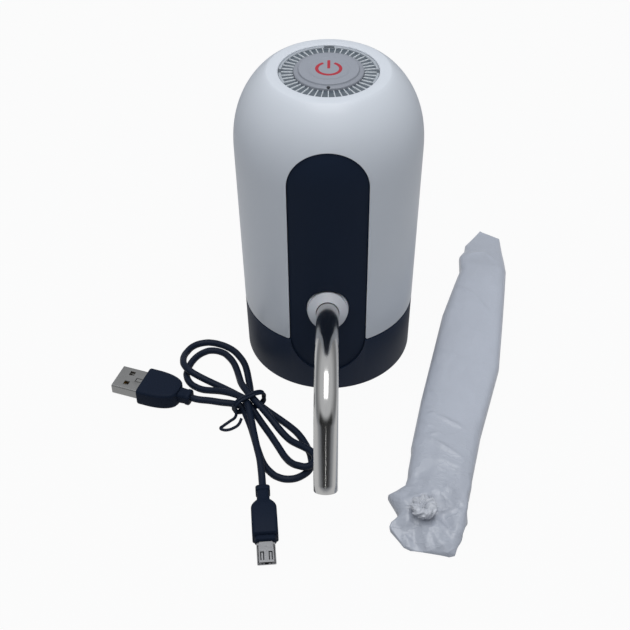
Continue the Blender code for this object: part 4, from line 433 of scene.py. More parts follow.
def copied(piece, matrix):
    """A copy with its own mesh, moved by a matrix."""
    only(piece)
    bpy.ops.object.duplicate(linked=False)
    return placed(bpy.context.object, matrix @ bpy.context.object.matrix_world)


def rounded(corners, steps=4):
    """An outline through (x, y) or (x, y, rounding) corners, with each rounded corner drawn as an arc."""
    outline = []
    for before, corner, after in zip(corners[-1:] + corners[:-1], corners, corners[1:] + corners[:1]):
        point = Vector(corner[:2])
        radius = corner[2] if len(corner) > 2 else 0
        if not radius:
            outline.append((point.x, point.y))
            continue
        back = (Vector(before[:2]) - point).normalized()
        on = (Vector(after[:2]) - point).normalized()
        half = back.angle(on) / 2
        centre = point + (back + on).normalized() * radius / math.sin(half)
        start = point + back * radius / math.tan(half) - centre
        end = point + on * radius / math.tan(half) - centre
        first = math.atan2(start.y, start.x)
        turn = (math.atan2(end.y, end.x) - first + math.pi) % math.tau - math.pi
        for step in range(steps + 1):
            angle = first + turn * step / steps
            outline.append((centre.x + radius * math.cos(angle), centre.y + radius * math.sin(angle)))
    return outline


def arc(centre, radius, start_deg, end_deg, steps):
    turns = [math.radians(start_deg + (end_deg - start_deg) * step / steps) for step in range(steps + 1)]
    return [(centre[0] + radius * math.cos(turn), centre[1] + radius * math.sin(turn)) for turn in turns]


def ring_of_points(name, points, **settings):
    """A circle whose points are laid on the given ones, as the start of a turned or pushed piece."""
    piece = added(name, bpy.ops.mesh.primitive_circle_add, vertices=len(points), radius=1, **settings)
    for corner, point in zip(piece.data.vertices, points):
        corner.co = point
    return piece


def turned(name, outline, steps, centre=(0, 0)):
    """A piece turned about an upright axis from a closed outline of (radius, height) points."""
    piece = ring_of_points(name, [(radius, 0, height) for radius, height in outline])
    with Editing(piece) as edit:
        bpy.ops.mesh.spin(steps=steps, angle=math.tau, center=(0, 0, 0), axis=(0, 0, 1))
        edit.tidy()
    return placed(piece, Matrix.Translation((*centre, 0)))


def pushed(name, outline, low, high, matrix=Matrix.Identity(4)):
    """An outline pushed from one depth to another along its own Z, then set in a frame."""
    piece = ring_of_points(name, [(x, y, low) for x, y in outline], fill_type="NGON")
    with Editing(piece) as edit:
        bpy.ops.mesh.extrude_region_move(TRANSFORM_OT_translate={"value": (0, 0, high - low)})
        edit.tidy()
    return placed(piece, matrix)


def cut(piece, outline, low, high, matrix=Matrix.Identity(4)):
    """Cuts an outline out of a piece, from one depth to another."""
    return boolean(piece, pushed("cut", outline, low, high, matrix))


def skinned(name, rings, ends="filled"):
    """A skin over rings of points, from a grid laid on them, with its ends filled or joined."""
    around = len(rings[0])
    rows = rings + rings[:1] if ends == "joined" else rings
    piece = added(
        name, bpy.ops.mesh.primitive_grid_add, x_subdivisions=around, y_subdivisions=len(rows) - 1, size=1,
    )
    for number, corner in enumerate(piece.data.vertices):
        row, column = divmod(number, around + 1)
        corner.co = rows[row][column % around]
    with Editing(piece) as edit:
        edit.tidy(1e-7)
        if ends == "filled":
            bpy.ops.mesh.fill_holes(sides=0)
            edit.tidy(1e-7)
    return piece


def smooth_route(points, step):
    """Points about a step apart on a Catmull-Rom curve through the given points."""
    route = [Vector(point) for point in points]
    padded = [2 * route[0] - route[1], *route, 2 * route[-1] - route[-2]]
    fine = []
    for before, start, end, after in zip(padded, padded[1:], padded[2:], padded[3:]):
        pieces = max(1, round((end - start).length / step))
        for number in range(pieces):
            t = number / pieces
            fine.append(0.5 * (
                2 * start + (end - before) * t
                + (2 * before - 5 * start + 4 * end - after) * t * t
                + (3 * start - before - 3 * end + after) * t * t * t
            ))
    fine.append(route[-1])
    return fine


def route_length(route):
    return sum((second - first).length for first, second in zip(route, route[1:]))


def rings_along(route, radius, sides):
    """Rings square to a route, carried along it without twist."""
    rings = []
    side = None
    for number, point in enumerate(route):
        forward = (route[min(number + 1, len(route) - 1)] - route[max(number - 1, 0)]).normalized()
        side = side or forward.orthogonal().normalized()
        side = (side - forward * side.dot(forward)).normalized()
        up = forward.cross(side)
        turns = [math.tau * k / sides for k in range(sides)]
        rings.append([point + radius * (math.cos(turn) * side + math.sin(turn) * up) for turn in turns])
    return rings


def pipe(name, route, radius, bore, sides):
    """An open pipe along a route, with a wall."""
    outer = rings_along(route, radius, sides)
    inner = rings_along(route, bore, sides)
    return skinned(name, outer + inner[::-1], ends="joined")


def round_cord(name, route, radius):
    """A curve through a route's points, thick as the cord is, with filled ends."""
    cord = added(name, bpy.ops.curve.primitive_bezier_curve_add, radius=1)
    spline = cord.data.splines[0]
    spline.bezier_points.add(len(route) - 2)
    for point, where in zip(spline.bezier_points, route):
        point.co = where
        point.handle_left_type = point.handle_right_type = "AUTO"
    cord.data.dimensions = "3D"
    cord.data.resolution_u = 6
    cord.data.bevel_depth = radius
    cord.data.bevel_resolution = 6
    cord.data.use_fill_caps = True
    return cord


def section(x, half_width, half_height, rounding, steps=5):
    """A rounded rectangle square to X, as a ring of points."""
    rounding = min(rounding, half_width, half_height)
    ring = []
    for side, level, start in ((1, 1, 0), (-1, 1, 90), (-1, -1, 180), (1, -1, 270)):
        middle = (side * (half_width - rounding), level * (half_height - rounding))
        ring += [(x, y, z) for y, z in arc(middle, rounding, start, start + 90, steps)]
    return ring


def block_outline(low, high):
    return [(low[0], low[1]), (high[0], low[1]), (high[0], high[1]), (low[0], high[1])]


def settled(piece, body, look, slot, *nodes):
    """Gives a finished piece its look, its body and the CAD nodes that it stands for."""
    piece.data.materials.clear()
    piece.data.materials.append(LOOKS[look])
    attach(piece, body)
    if nodes:
        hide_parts(*nodes)
    return piece


# Finishes

class Value:
    """A number socket that sums can be written with, each adding the Math node that it needs."""

    def __init__(self, finish, socket):
        self.finish = finish
        self.socket = socket

    def maths(self, operation, *terms):
        node = self.finish.node("ShaderNodeMath", dict(enumerate(terms)), operation=operation)
        return Value(self.finish, node.outputs[0])

    def __add__(self, other):
        return self.maths("ADD", self, other)

    def __radd__(self, other):
        return self.maths("ADD", other, self)

    def __sub__(self, other):
        return self.maths("SUBTRACT", self, other)

    def __rsub__(self, other):
        return self.maths("SUBTRACT", other, self)

    def __mul__(self, other):
        return self.maths("MULTIPLY", self, other)

    def __rmul__(self, other):
        return self.maths("MULTIPLY", other, self)

    def __pow__(self, other):
        return self.maths("POWER", self, other)

    def sine(self):
        return self.maths("SINE", self)

    def between(self, low, high):
        """0 below low, 1 above high, with a soft change between them."""
        limits = {"Value": self, "From Min": low, "From Max": high}
        node = self.finish.node("ShaderNodeMapRange", limits, interpolation_type="SMOOTHSTEP")
        return Value(self.finish, node.outputs["Result"])


class Finish:
    """A material whose look is built on one Principled shader."""

    def __init__(self, name, base_colour, roughness, **others):
        self.material = bpy.data.materials.new(name)
        self.material.use_nodes = True
        self.tree = self.material.node_tree
        self.shader = self.tree.nodes["Principled BSDF"]
        self.colour = (*base_colour, 1.0)
        self.roughness = roughness
        self.fill(self.shader, {"Base Color": self.colour, "Roughness": roughness})
        for key, value in others.items():
            self.fill(self.shader, {key.replace("_", " ").title().replace("Ior", "IOR"): value})
        LOOKS[name] = self.material

    def node(self, kind, sockets=None, **settings):
        """Adds a node: its settings first, then its sockets' values and links."""
        made = self.tree.nodes.new(kind)
        for name, value in settings.items():
            setattr(made, name, value)
        self.fill(made, sockets or {})
        return made

    def fill(self, node, sockets):
        for key, value in sockets.items():
            source = value.socket if isinstance(value, Value) else value
            if isinstance(source, bpy.types.NodeSocket):
                self.tree.links.new(source, node.inputs[key])
            else:
                node.inputs[key].default_value = source

    def where(self, stretch=(1, 1, 1)):
        """The place on the piece in metres, stretched along its axes."""
        spot = self.node("ShaderNodeTexCoord").outputs["Object"]
        return self.node("ShaderNodeMapping", {"Vector": spot, "Scale": stretch}).outputs["Vector"]

    def axis(self, name):
        return Value(self, self.node("ShaderNodeSeparateXYZ", {"Vector": self.where()}).outputs[name])

    def cloud(self, scale, detail=2.0, roughness=0.5, stretch=(1, 1, 1)):
        """Soft noise from 0 to 1 with features about 1 / scale metres across."""
        node = self.node("ShaderNodeTexNoise", {
            "Vector": self.where(stretch), "Scale": scale, "Detail": detail, "Roughness": roughness,
        })
        return Value(self, node.outputs["Fac"])

    def mix(self, factor, first, second):
        node = self.node("ShaderNodeMix", {"Factor": factor, 6: first, 7: second}, data_type="RGBA")
        return node.outputs[2]

    def shaded(self, share):
        """The finish's own colour at a share of its brightness."""
        return (*[value * share for value in self.colour[:3]], 1.0)

    def mottle(self, scale, amount):
        """Slightly uneven colour and gloss, as moulded and worn surfaces have."""
        patches = self.cloud(scale, 4.0, 0.6)
        self.fill(self.shader, {
            "Base Color": self.mix(patches, self.shaded(1 - amount), self.shaded(1 + amount)),
            "Roughness": self.roughness * (1 - amount) + patches * (2 * amount * self.roughness),
        })

    def bump(self, height, depth, strength):
        """Raises the surface by a height from 0 to 1 times a depth in metres."""
        node = self.node("ShaderNodeBump", {"Height": height, "Distance": depth, "Strength": strength})
        self.fill(self.shader, {"Normal": node.outputs["Normal"]})


# Moulded plastics and rubbers: colour, roughness, grain (features in a metre and depth in metres),
# unevenness and other settings
MOULDED = {
    "satin_white": ("shell", 0.34, 1400, 0.00002, 0.02, {"coat_weight": 0.12, "coat_roughness": 0.25}),
    "grained_black": ("panel", 0.55, 2600, 0.00005, 0.08, {"specular_ior_level": 0.08}),
    "base_black": ("base", 0.5, 2200, 0.00003, 0.08, {"specular_ior_level": 0.17}),
    "soft_silicone": (
        "silicone", 0.46, 900, 0.00002, 0.03, {"subsurface_weight": 0.1, "subsurface_scale": 0.002},
    ),
    "bright_rib": ("rib", 0.2, 1800, 0.00002, 0.05, {"coat_weight": 0.4, "coat_roughness": 0.1}),
    # Painted shade on the thin sheet between the ribs
    "band_painted_shade": ("band", 0.3, 1200, 0.00004, 0.16, {"coat_weight": 0.3, "coat_roughness": 0.15}),
    "tab_grey": ("tab", 0.3, 1500, 0.00002, 0.06, {}),
    "red_ink": ("symbol", 0.38, 2400, 0.00002, 0.10, {}),
    # Painted shade of the button's front notch, and the small plug's own dark tongue
    "notch_shade_and_tongue_black": ("dark", 0.6, 1800, 0.00003, 0.10, {}),
    "black_rubber": ("rubber", 0.45, 1900, 0.00004, 0.10, {"specular_ior_level": 0.14}),
    "grip_rubber": ("rubber", 0.52, 2300, 0.00007, 0.12, {"specular_ior_level": 0.08}),
    "tie_rubber": ("rubber", 0.42, 2400, 0.00003, 0.10, {"specular_ior_level": 0.14}),
    "tongue_white": ("tongue", 0.45, 1500, 0.00002, 0.04, {}),
    "hose_silicone": (
        "hose", 0.35, 800, 0.00002, 0.03, {"subsurface_weight": 0.2, "subsurface_scale": 0.003},
    ),
    "frame_grey": ("frame", 0.48, 1300, 0.00004, 0.06, {}),
    "board_green": ("board", 0.34, 700, 0.00003, 0.12, {"coat_weight": 0.5, "coat_roughness": 0.15}),
    "sleeve_blue": ("sleeve", 0.28, 500, 0.00003, 0.06, {"coat_weight": 0.4, "coat_roughness": 0.1}),
    "wire_red": ("wire_red", 0.4, 1500, 0.00003, 0.06, {}),
    "wire_black": ("wire_black", 0.4, 1500, 0.00003, 0.06, {}),
    "lamp_lens": ("lens", 0.2, 1500, 0.00002, 0.04, {"coat_weight": 0.5, "coat_roughness": 0.05}),
}
# Plated metals: colour, roughness, patches in a metre and unevenness
PLATED = {
    "plated_steel": ("plate", 0.26, 420, 0.06),
    "bright_plate": ("bright_plate", 0.28, 420, 0.06),
    "gold_contact": ("gold", 0.22, 900, 0.08),
}


def make_finishes():
    """Every look, by name."""
    colours = values("finishes")
    for name, (key, roughness, grain, depth, amount, others) in MOULDED.items():
        finish = Finish(name, getattr(colours, key), roughness, **others)
        finish.mottle(55.0, amount)
        finish.bump(finish.cloud(grain), depth, 0.6)
    for name, (key, roughness, patches, amount) in PLATED.items():
        Finish(name, getattr(colours, key), roughness, metallic=1.0).mottle(patches, amount)
    make_steel(colours)
    make_button_grey(colours)
    make_film(colours)

    ring = Finish("clear_grey", colours.ring, 0.22, coat_weight=0.4, coat_roughness=0.1)
    ring.mottle(500.0, 0.08)
    ring.bump(ring.cloud(1500.0), 0.00002, 0.3)
    knot = Finish("knotted_film", colours.knot, 0.32, coat_weight=0.2, coat_roughness=0.2)
    knot.mottle(260.0, 0.06)
    knot.bump(knot.cloud(700.0, 5.0, 0.6), 0.0003, 0.6)
    copper = Finish("wound_copper", colours.copper, 0.35, metallic=0.9)
    copper.mottle(300.0, 0.1)
    copper.bump((copper.axis("Z") * 9000.0).sine(), 0.0001, 0.8)


def make_steel(colours):
    """Polished steel with faint streaks along the spout."""
    steel = Finish("polished_steel", colours.steel, 0.10, metallic=1.0)
    streaks = steel.cloud(60.0, 3.0, 0.6, (30, 1, 1))
    steel.fill(steel.shader, {
        "Base Color": steel.mix(streaks, steel.shaded(0.93), steel.shaded(1.04)),
        "Roughness": 0.13 + streaks * 0.07,
    })
    steel.bump(steel.cloud(900.0, 2.0, 0.5, (4, 1, 1)), 0.000004, 0.3)


def make_button_grey(colours):
    """Satin grey, a little darker outside the button's flat middle."""
    button = Finish("satin_grey", colours.button, 0.36)
    across = (button.axis("X") ** 2 + button.axis("Y") ** 2) ** 0.5
    edge = values("top").button_flat
    outside = across.between(edge - HAIR, edge + HAIR)
    button.fill(button.shader, {
        "Base Color": button.mix(outside, button.colour, button.shaded(0.9)),
        "Roughness": 0.33 + button.cloud(90.0, 4.0, 0.6) * 0.06,
    })
    button.bump(button.cloud(2600.0), 0.00003, 0.6)


def make_film(colours):
    """Cloudy film with soft creases and sharp lines, darker and more creased near the bag's mouth."""
    film = Finish(
        "milky_film", colours.film, 0.30, specular_ior_level=0.55, coat_weight=0.25, coat_roughness=0.18,
    )
    clouds = film.cloud(42.0, 5.0, 0.55)
    near_mouth = (0 - film.axis("Y")).between(0.04, 0.11)
    cloudy = film.mix(clouds, film.shaded(0.94), film.shaded(1.05))
    film.fill(film.shader, {
        "Base Color": film.mix(near_mouth, cloudy, film.shaded(0.88)),
        "Roughness": 0.24 + clouds * 0.16,
        "Alpha": 0.90 + clouds * 0.09,
    })
    creases = film.cloud(210.0, 6.0, 0.62, (1, 0.45, 1)) + film.cloud(620.0, 4.0, 0.6, (1, 0.6, 1)) * 0.35
    lines = film.cloud(95.0, 3.0, 0.55, (1, 1.6, 1)) * 2 - 1
    sharp = (1 - lines.maths("ABSOLUTE", lines)) ** 14
    film.bump(creases + sharp * (0.12 + 0.6 * near_mouth), 0.00035, 0.55)


# The body's outline

def wall_radius(height, inset=0.0):
    body = values("body")
    along = height / body.shoulder_height
    return body.base_radius + (body.shoulder_radius - body.base_radius) * along - inset


def body_line(low, inset, steps):
    """The body's side from a low height up to the flat of the dome, set in by an inset."""
    body = values("body")
    side = body.shoulder_radius - inset - body.dome_top_radius
    rise = body.height - inset - body.shoulder_height
    points = []
    side_steps = 7
    for step in range(side_steps):
        height = low + (body.shoulder_height - low) * step / side_steps
        points.append((wall_radius(height, inset), height))
    for step in range(steps + 1):
        turn = math.pi / 2 * step / steps
        radius = body.dome_top_radius + side * max(math.cos(turn), 0) ** (2 / body.dome_side_power)
        points.append((radius, body.shoulder_height + rise * math.sin(turn) ** (2 / body.dome_rise_power)))
    return points


def stadium(grow, steps=40):
    """The panel's outline seen from the front, grown by a clearance."""
    body = values("body")
    half = body.panel_half_width + grow
    top = arc((0, body.panel_top - body.panel_half_width), half, 0, 180, steps)
    return top + arc((0, body.panel_bottom + body.panel_half_width), half, 180, 360, steps)


def outlet_frame():
    """The outlet's own frame: its origin on the panel, its Z along the spout."""
    spout = values("spout")
    front = wall_radius(spout.outlet_height, values("body").panel_recess)
    tilt = Matrix.Rotation(math.pi / 2 - spout.rise, 4, "X")
    return Matrix.Translation((0, -front, spout.outlet_height)) @ tilt


def screw_places():
    """Each base screw's turn round the axis, and its middle."""
    reach = values("base").screw_pitch_radius
    for angle in (60, 120, 225, 315):
        turn = math.radians(angle)
        yield turn, (reach * math.cos(turn), reach * math.sin(turn))


class PUMP_OT_shell(bpy.types.Operator):
    """Builds the white shell with its dome, its slot for the panel and its charging port"""

    bl_idname = "pump.shell"
    bl_label = "White shell"

    def execute(self, context):
        body = values("body")
        base = values("base")
        outer = body_line(body.seam_height, 0, 48)
        inner = body_line(body.seam_height, body.wall, 20)
        corners = [(*outer[0], body.edge), *outer[1:], (body.top_hole_radius, outer[-1][1], body.edge)]
        corners += [(body.top_hole_radius, inner[-1][1]), *inner[::-1]]
        shell = turned("white_shell", rounded(corners), body.round_steps)
        reach = body.shoulder_radius + body.wall
        cut(shell, self.slot(body), 0, reach, FRONT)
        wide = body.port_half_width + 2 * body.clearance
        tall = body.port_half_height + 2 * body.clearance
        corner = 0.0004
        port = rounded([(x, z, corner) for x, z in block_outline((-wide, -tall), (wide, tall))])
        cut(shell, port, 0, reach, Matrix.Translation((0, 0, body.port_height)) @ BACK)
        smoothed(bevelled(shell, body.slot_edge, 3), 35)
        joined(shell, *[self.post(body, base, turn, centre) for turn, centre in screw_places()])
        settled(shell, "pump", "satin_white", "white_shell", "outer_shell")
        return {"FINISHED"}

    def slot(self, body):
        """The outline of the panel's slot, flared where the shell's lower corners are rounded."""
        half = body.panel_half_width + body.clearance
        low = body.seam_height
        right = arc((half + body.corner, low + body.corner), body.corner, 270, 180, 8)
        top = arc((0, body.panel_top - body.panel_half_width), half, 0, 180, 48)
        left = [(-x, z) for x, z in right[::-1]]
        foot = half + body.corner
        return right + top + left + [(-foot, low - body.wall), (foot, low - body.wall)]

    def post(self, body, base, turn, centre):
        """A screw post inside the shell, with the web that ties it to the wall."""
        low = base.ceiling_high + body.clearance
        bore = base.screw_radius + body.clearance
        post = turned("post", block_outline((bore, low), (base.post_radius, base.post_top)), 24, centre)
        half, web_low, web_high = 0.001, 0.029, 0.039
        near, far = base.screw_pitch_radius + bore, wall_radius(low, body.wall / 2)
        web = block_outline((near, -half), (far, half))
        fin = pushed("web", web, web_low, web_high, Matrix.Rotation(turn, 4, "Z"))
        return smoothed(joined(post, fin))


class PUMP_OT_panel(bpy.types.Operator):
    """Builds the black front panel with its round ends and the collar's hole"""

    bl_idname = "pump.panel"
    bl_label = "Front panel"

    def execute(self, context):
        body = values("body")
        spout = values("spout")
        outer = body_line(body.panel_bottom - body.wall, body.panel_recess, 40)
        inner = body_line(body.panel_bottom - body.wall, body.panel_recess + body.panel_thickness, 40)
        panel = turned("black_panel", outer + inner[::-1], body.round_steps)
        boolean(panel, pushed("outline", stadium(0), 0, body.shoulder_radius + body.wall, FRONT), "INTERSECT")
        sides = 64
        hole = arc((0, 0), spout.collar_radius + body.clearance, 0, 360 - 360 / sides, sides - 1)
        cut(panel, hole, -spout.collar_back, spout.collar_back, outlet_frame())
        smoothed(bevelled(panel, body.panel_edge, 3), 35)
        settled(panel, "pump", "grained_black", "black_plastic", "front_panel")
        return {"FINISHED"}


class PUMP_OT_base(bpy.types.Operator):
    """Builds the black base with the cavity that takes the bottle's neck"""

    bl_idname = "pump.base"
    bl_label = "Base housing"

    def execute(self, context):
        body = values("body")
        base = values("base")
        seat = body.seam_height - body.clearance
        spigot = wall_radius(body.seam_height, body.wall + body.clearance)
        spigot_top = seat + base.spigot_height
        housing = turned("black_base", rounded([
            (base.neck_radius, 0, base.foot_edge), (body.base_radius, 0, base.foot_edge),
            (wall_radius(seat), seat, body.edge), (spigot, seat), (spigot, spigot_top, body.edge),
            (spigot - base.spigot_wall, spigot_top), (spigot - base.spigot_wall, base.ceiling_high),
            (base.nipple_hole, base.ceiling_high), (base.nipple_hole, base.ceiling_low),
            (base.neck_radius, base.ceiling_low, body.corner),
        ]), body.round_steps)
        low = body.panel_bottom - 2 * body.wall
        outer = body_line(low, -body.wall, 8)
        inner = body_line(low, body.panel_recess + body.panel_thickness + body.clearance, 8)
        pocket = turned("pocket", outer + inner[::-1], body.round_steps)
        mask = pushed("mask", stadium(body.panel_gap), 0, body.shoulder_radius + 2 * body.wall, FRONT)
        boolean(housing, boolean(pocket, mask, "INTERSECT"))
        head = base.screw_head_radius + body.clearance
        top = base.ceiling_low + base.screw_head_height + body.clearance
        shank = base.screw_radius + body.clearance
        below, above = 0.02, 0.027
        stepped = [(0, below), (head, below), (head, top), (shank, top), (shank, above), (0, above)]
        for _, centre in screw_places():
            boolean(housing, turned("screw_pocket", stepped, 32, centre))
        smoothed(housing, 35)
        settled(housing, "pump", "base_black", "black_plastic", "base_housing")
        return {"FINISHED"}


class PUMP_OT_underside(bpy.types.Operator):
    """Builds what shows in the neck cavity: the gasket, the intake nipple and the base screws"""

    bl_idname = "pump.underside"
    bl_label = "Underside"

    def execute(self, context):
        body = values("body")
        base = values("base")
        self.gasket(body, base)
        self.nipple(body, base)
        for number, (_, centre) in enumerate(screw_places(), 1):
            self.screw(base, number, centre)
        return {"FINISHED"}

    def gasket(self, body, base):
        top = base.ceiling_low - body.clearance
        low = top - base.gasket_thickness
        outer = base.neck_radius - body.clearance
        edge = 0.0006
        inner = base.gasket_inner_radius
        outline = rounded([(inner, top), (inner, low, edge), (outer, low, edge), (outer, top)])
        gasket = turned("gasket", outline, 96)
        settled(smoothed(gasket, 50), "pump", "soft_silicone", "white_silicone", "neck_gasket")

    def nipple(self, body, base):
        tip = base.ceiling_high - base.nipple_drop
        low = base.ceiling_high + body.clearance
        corners = [(base.nipple_bore, tip), (base.nipple_radius - body.clearance, tip, FINE_EDGE)]
        for barb in range(3):
            start = tip + barb * base.barb_pitch
            wide = start + base.barb_pitch / 2
            corners += [(base.nipple_barb_radius, wide, 0.00015), (base.nipple_radius, wide + body.clearance)]
        flange, stem, stem_bore = 0.006, 0.0017, 0.001
        flange_top, stem_top = low + 0.0015, low + 0.006
        corners += [
            (base.nipple_radius, low), (flange, low), (flange, flange_top), (stem, flange_top),
            (stem, stem_top), (stem_bore, stem_top), (stem_bore, flange_top), (base.nipple_bore, low),
        ]
        nipple = smoothed(turned("nipple", rounded(corners), 48), 40)
        settled(nipple, "pump", "frame_grey", "grey_frame", "intake_nipple")

    def screw(self, base, number, centre):
        """A screw with a rounded head and a cross recess."""
        head, tall = base.screw_head_radius, base.screw_head_height
        screw = turned(f"screw_{number}", rounded([
            (0, -tall), (head, -tall, 0.0005), (head, 0), (base.screw_radius, 0),
            (base.screw_radius, base.screw_length - base.screw_radius), (0, base.screw_length),
        ]), 40)
        reach, half = 0.6 * head, 0.12 * head
        for quarter in (0, math.pi / 2):
            arm = block_outline((-reach, -half), (reach, half))
            cut(screw, arm, -1.5 * tall, -0.45 * tall, Matrix.Rotation(quarter, 4, "Z"))
        placed(screw, Matrix.Translation((*centre, base.ceiling_low + tall)))
        smoothed(screw, 40)
        settled(screw, "pump", "plated_steel", "plated_steel", f"base_screw_{number}")


class PUMP_OT_collar(bpy.types.Operator):
    """Builds the silicone collar round the spout"""

    bl_idname = "pump.collar"
    bl_label = "Spout collar"

    def execute(self, context):
        spout = values("spout")
        bore = spout.radius + values("body").clearance
        back = -spout.collar_back
        foot = 0.0008
        side = spout.collar_radius - 0.00035
        throat = spout.radius + 0.00012
        collar = turned("collar", rounded([
            (bore, back), (spout.lip_radius, back, SOFT_EDGE),
            (spout.lip_radius, spout.lip + back, SOFT_EDGE), (spout.collar_radius, spout.lip + back),
            (spout.collar_radius, foot, FINE_EDGE),
            (side, foot + HAIR, HAIR), (side, spout.collar_side, spout.collar_round),
            (throat, spout.collar_face, FINE_EDGE), (throat, spout.collar_face - 0.001),
            (bore, spout.collar_face - 0.0015),
        ], 8), 96)
        placed(collar, outlet_frame())
        settled(smoothed(collar, 40), "pump", "soft_silicone", "white_silicone", "spout_collar")
        return {"FINISHED"}


class PUMP_OT_spout(bpy.types.Operator):
    """Builds the bent steel spout"""

    bl_idname = "pump.spout"
    bl_label = "Spout"

    def execute(self, context):
        spout = values("spout")
        turn = spout.rise + spout.fall
        straight_steps, bend_steps, leg_steps = 12, 24, 8
        route = []
        for step in range(straight_steps + 1):
            along = step / straight_steps
            route.append(Vector((0, 0, spout.straight * along - spout.inner_length * (1 - along))))
        bends = ((0, spout.ease, spout.ease_radius), (spout.ease, turn, spout.bend_radius))
        for first, last, radius in bends:
            middle = route[-1] - radius * Vector((0, math.cos(first), math.sin(first)))
            for step in range(1, bend_steps + 1):
                angle = first + (last - first) * step / bend_steps
                route.append(middle + radius * Vector((0, math.cos(angle), math.sin(angle))))
        way = Vector((0, -math.sin(turn), math.cos(turn)))
        bend_end = route[-1]
        route += [bend_end + way * spout.last_leg * step / leg_steps for step in range(1, leg_steps + 1)]
        pipe_piece = pipe("spout", route, spout.radius, spout.radius - spout.wall, spout.sides)
        bevelled(pipe_piece, 0.00018, 2, 60)
        placed(pipe_piece, outlet_frame())
        settled(smoothed(pipe_piece, 40), "spout", "polished_steel", "polished_steel", "spout_pipe")
        return {"FINISHED"}


class PUMP_OT_light_ring(bpy.types.Operator):
    """Builds the clear light ring with its ribbed band and its tabs"""

    bl_idname = "pump.light_ring"
    bl_label = "Light ring"

    def execute(self, context):
        body = values("body")
        top = values("top")
        ring_top = body.height - top.ring_sink
        band = ring_top - top.band_sink
        inner = top.button_radius + top.rib_gap
        rim = top.ring_radius - top.ring_rim
        self.ring(body, top, ring_top, band, rim)
        self.floor(top, band, inner)
        self.ribs(top, ring_top, band, inner, rim)
        self.tabs(top, ring_top, rim)
        return {"FINISHED"}

    def ring(self, body, top, ring_top, band, rim):
        inner = top.button_radius + body.clearance
        sleeve = inner + top.sleeve_wall
        web = band - top.web
        flange_top = body.height - body.wall - body.clearance
        foot = flange_top - top.skirt_depth
        seat = foot + top.seat + body.clearance
        skirt = top.flange_radius - top.skirt_wall
        low = ring_top - top.sleeve_depth
        neck = top.flange_radius - 0.0006
        flange_low = flange_top - top.flange
        ring = turned("clear_ring", rounded([
            (inner, band), (inner, low), (sleeve, low), (sleeve, web), (skirt - top.seat, web),
            (skirt - top.seat, seat), (skirt, seat), (skirt, foot), (neck, foot), (neck, flange_low),
            (top.flange_radius, flange_low), (top.flange_radius, flange_top), (top.ring_radius, flange_top),
            (top.ring_radius, ring_top, SOFT_EDGE), (rim, ring_top, FINE_EDGE), (rim, band),
        ]), top.ring_steps)
        half = math.degrees(top.front)
        open_front = arc((0, 0), top.ring_radius + body.clearance, 270 - half, 270 + half, 32)
        open_front += arc((0, 0), rim - 0.0005, 270 + half, 270 - half, 32)
        cut(ring, open_front, band, ring_top + top.band_sink)
        settled(smoothed(ring, 40), "pump", "clear_grey", "clear_ring", "light_ring")

    def floor(self, top, band, inner):
        """A thin dark sheet on the band's floor, seen between the ribs: painted shade for the grooves."""
        lift = band + 0.00006
        edge = top.ring_radius - HAIR
        low = turned("band_shade_sheet", block_outline((inner, band), (edge, lift)), top.ring_steps)
        settled(smoothed(low, 40), "pump", "band_painted_shade", "clear_ring")

    def ribs(self, top, ring_top, band, inner, rim):
        """A rounded rib across the band and a longer one for the open front, copied round it."""
        half = top.rib_width / 2
        high = ring_top - top.rib_sink
        crest, edge = 0.6 * half, 0.00012
        arch = rounded([(-half, band), (half, band), (crest, high, edge), (-crest, high, edge)], 2)
        short = pushed("ribs", arch, inner, rim + HAIR, OUTWARD)
        long = pushed("long", arch, inner, top.ring_radius - HAIR, OUTWARD)
        copies = []
        for number in range(1, top.ribs):
            turn = math.tau * number / top.ribs
            rib = long if abs(turn - 1.5 * math.pi) < top.front else short
            copies.append(copied(rib, Matrix.Rotation(turn, 4, "Z")))
        bpy.data.objects.remove(long)
        settled(smoothed(joined(short, *copies), 40), "pump", "bright_rib", "clear_ring")

    def tabs(self, top, ring_top, rim):
        """Flat tabs on the rim, at the back and on both sides."""
        tabs = []
        for middle, width in ((90, top.back_tab), (0, top.side_tab), (180, top.side_tab)):
            half = math.degrees(width / 2 / top.ring_radius)
            outline = arc((0, 0), top.ring_radius - HAIR, middle - half, middle + half, 8)
            outline += arc((0, 0), rim, middle + half, middle - half, 8)
            tabs.append(bevelled(pushed("tabs", outline, ring_top - 0.0002, ring_top + 0.00012), 0.00008, 2))
        settled(smoothed(joined(*tabs), 40), "pump", "tab_grey", "clear_ring")


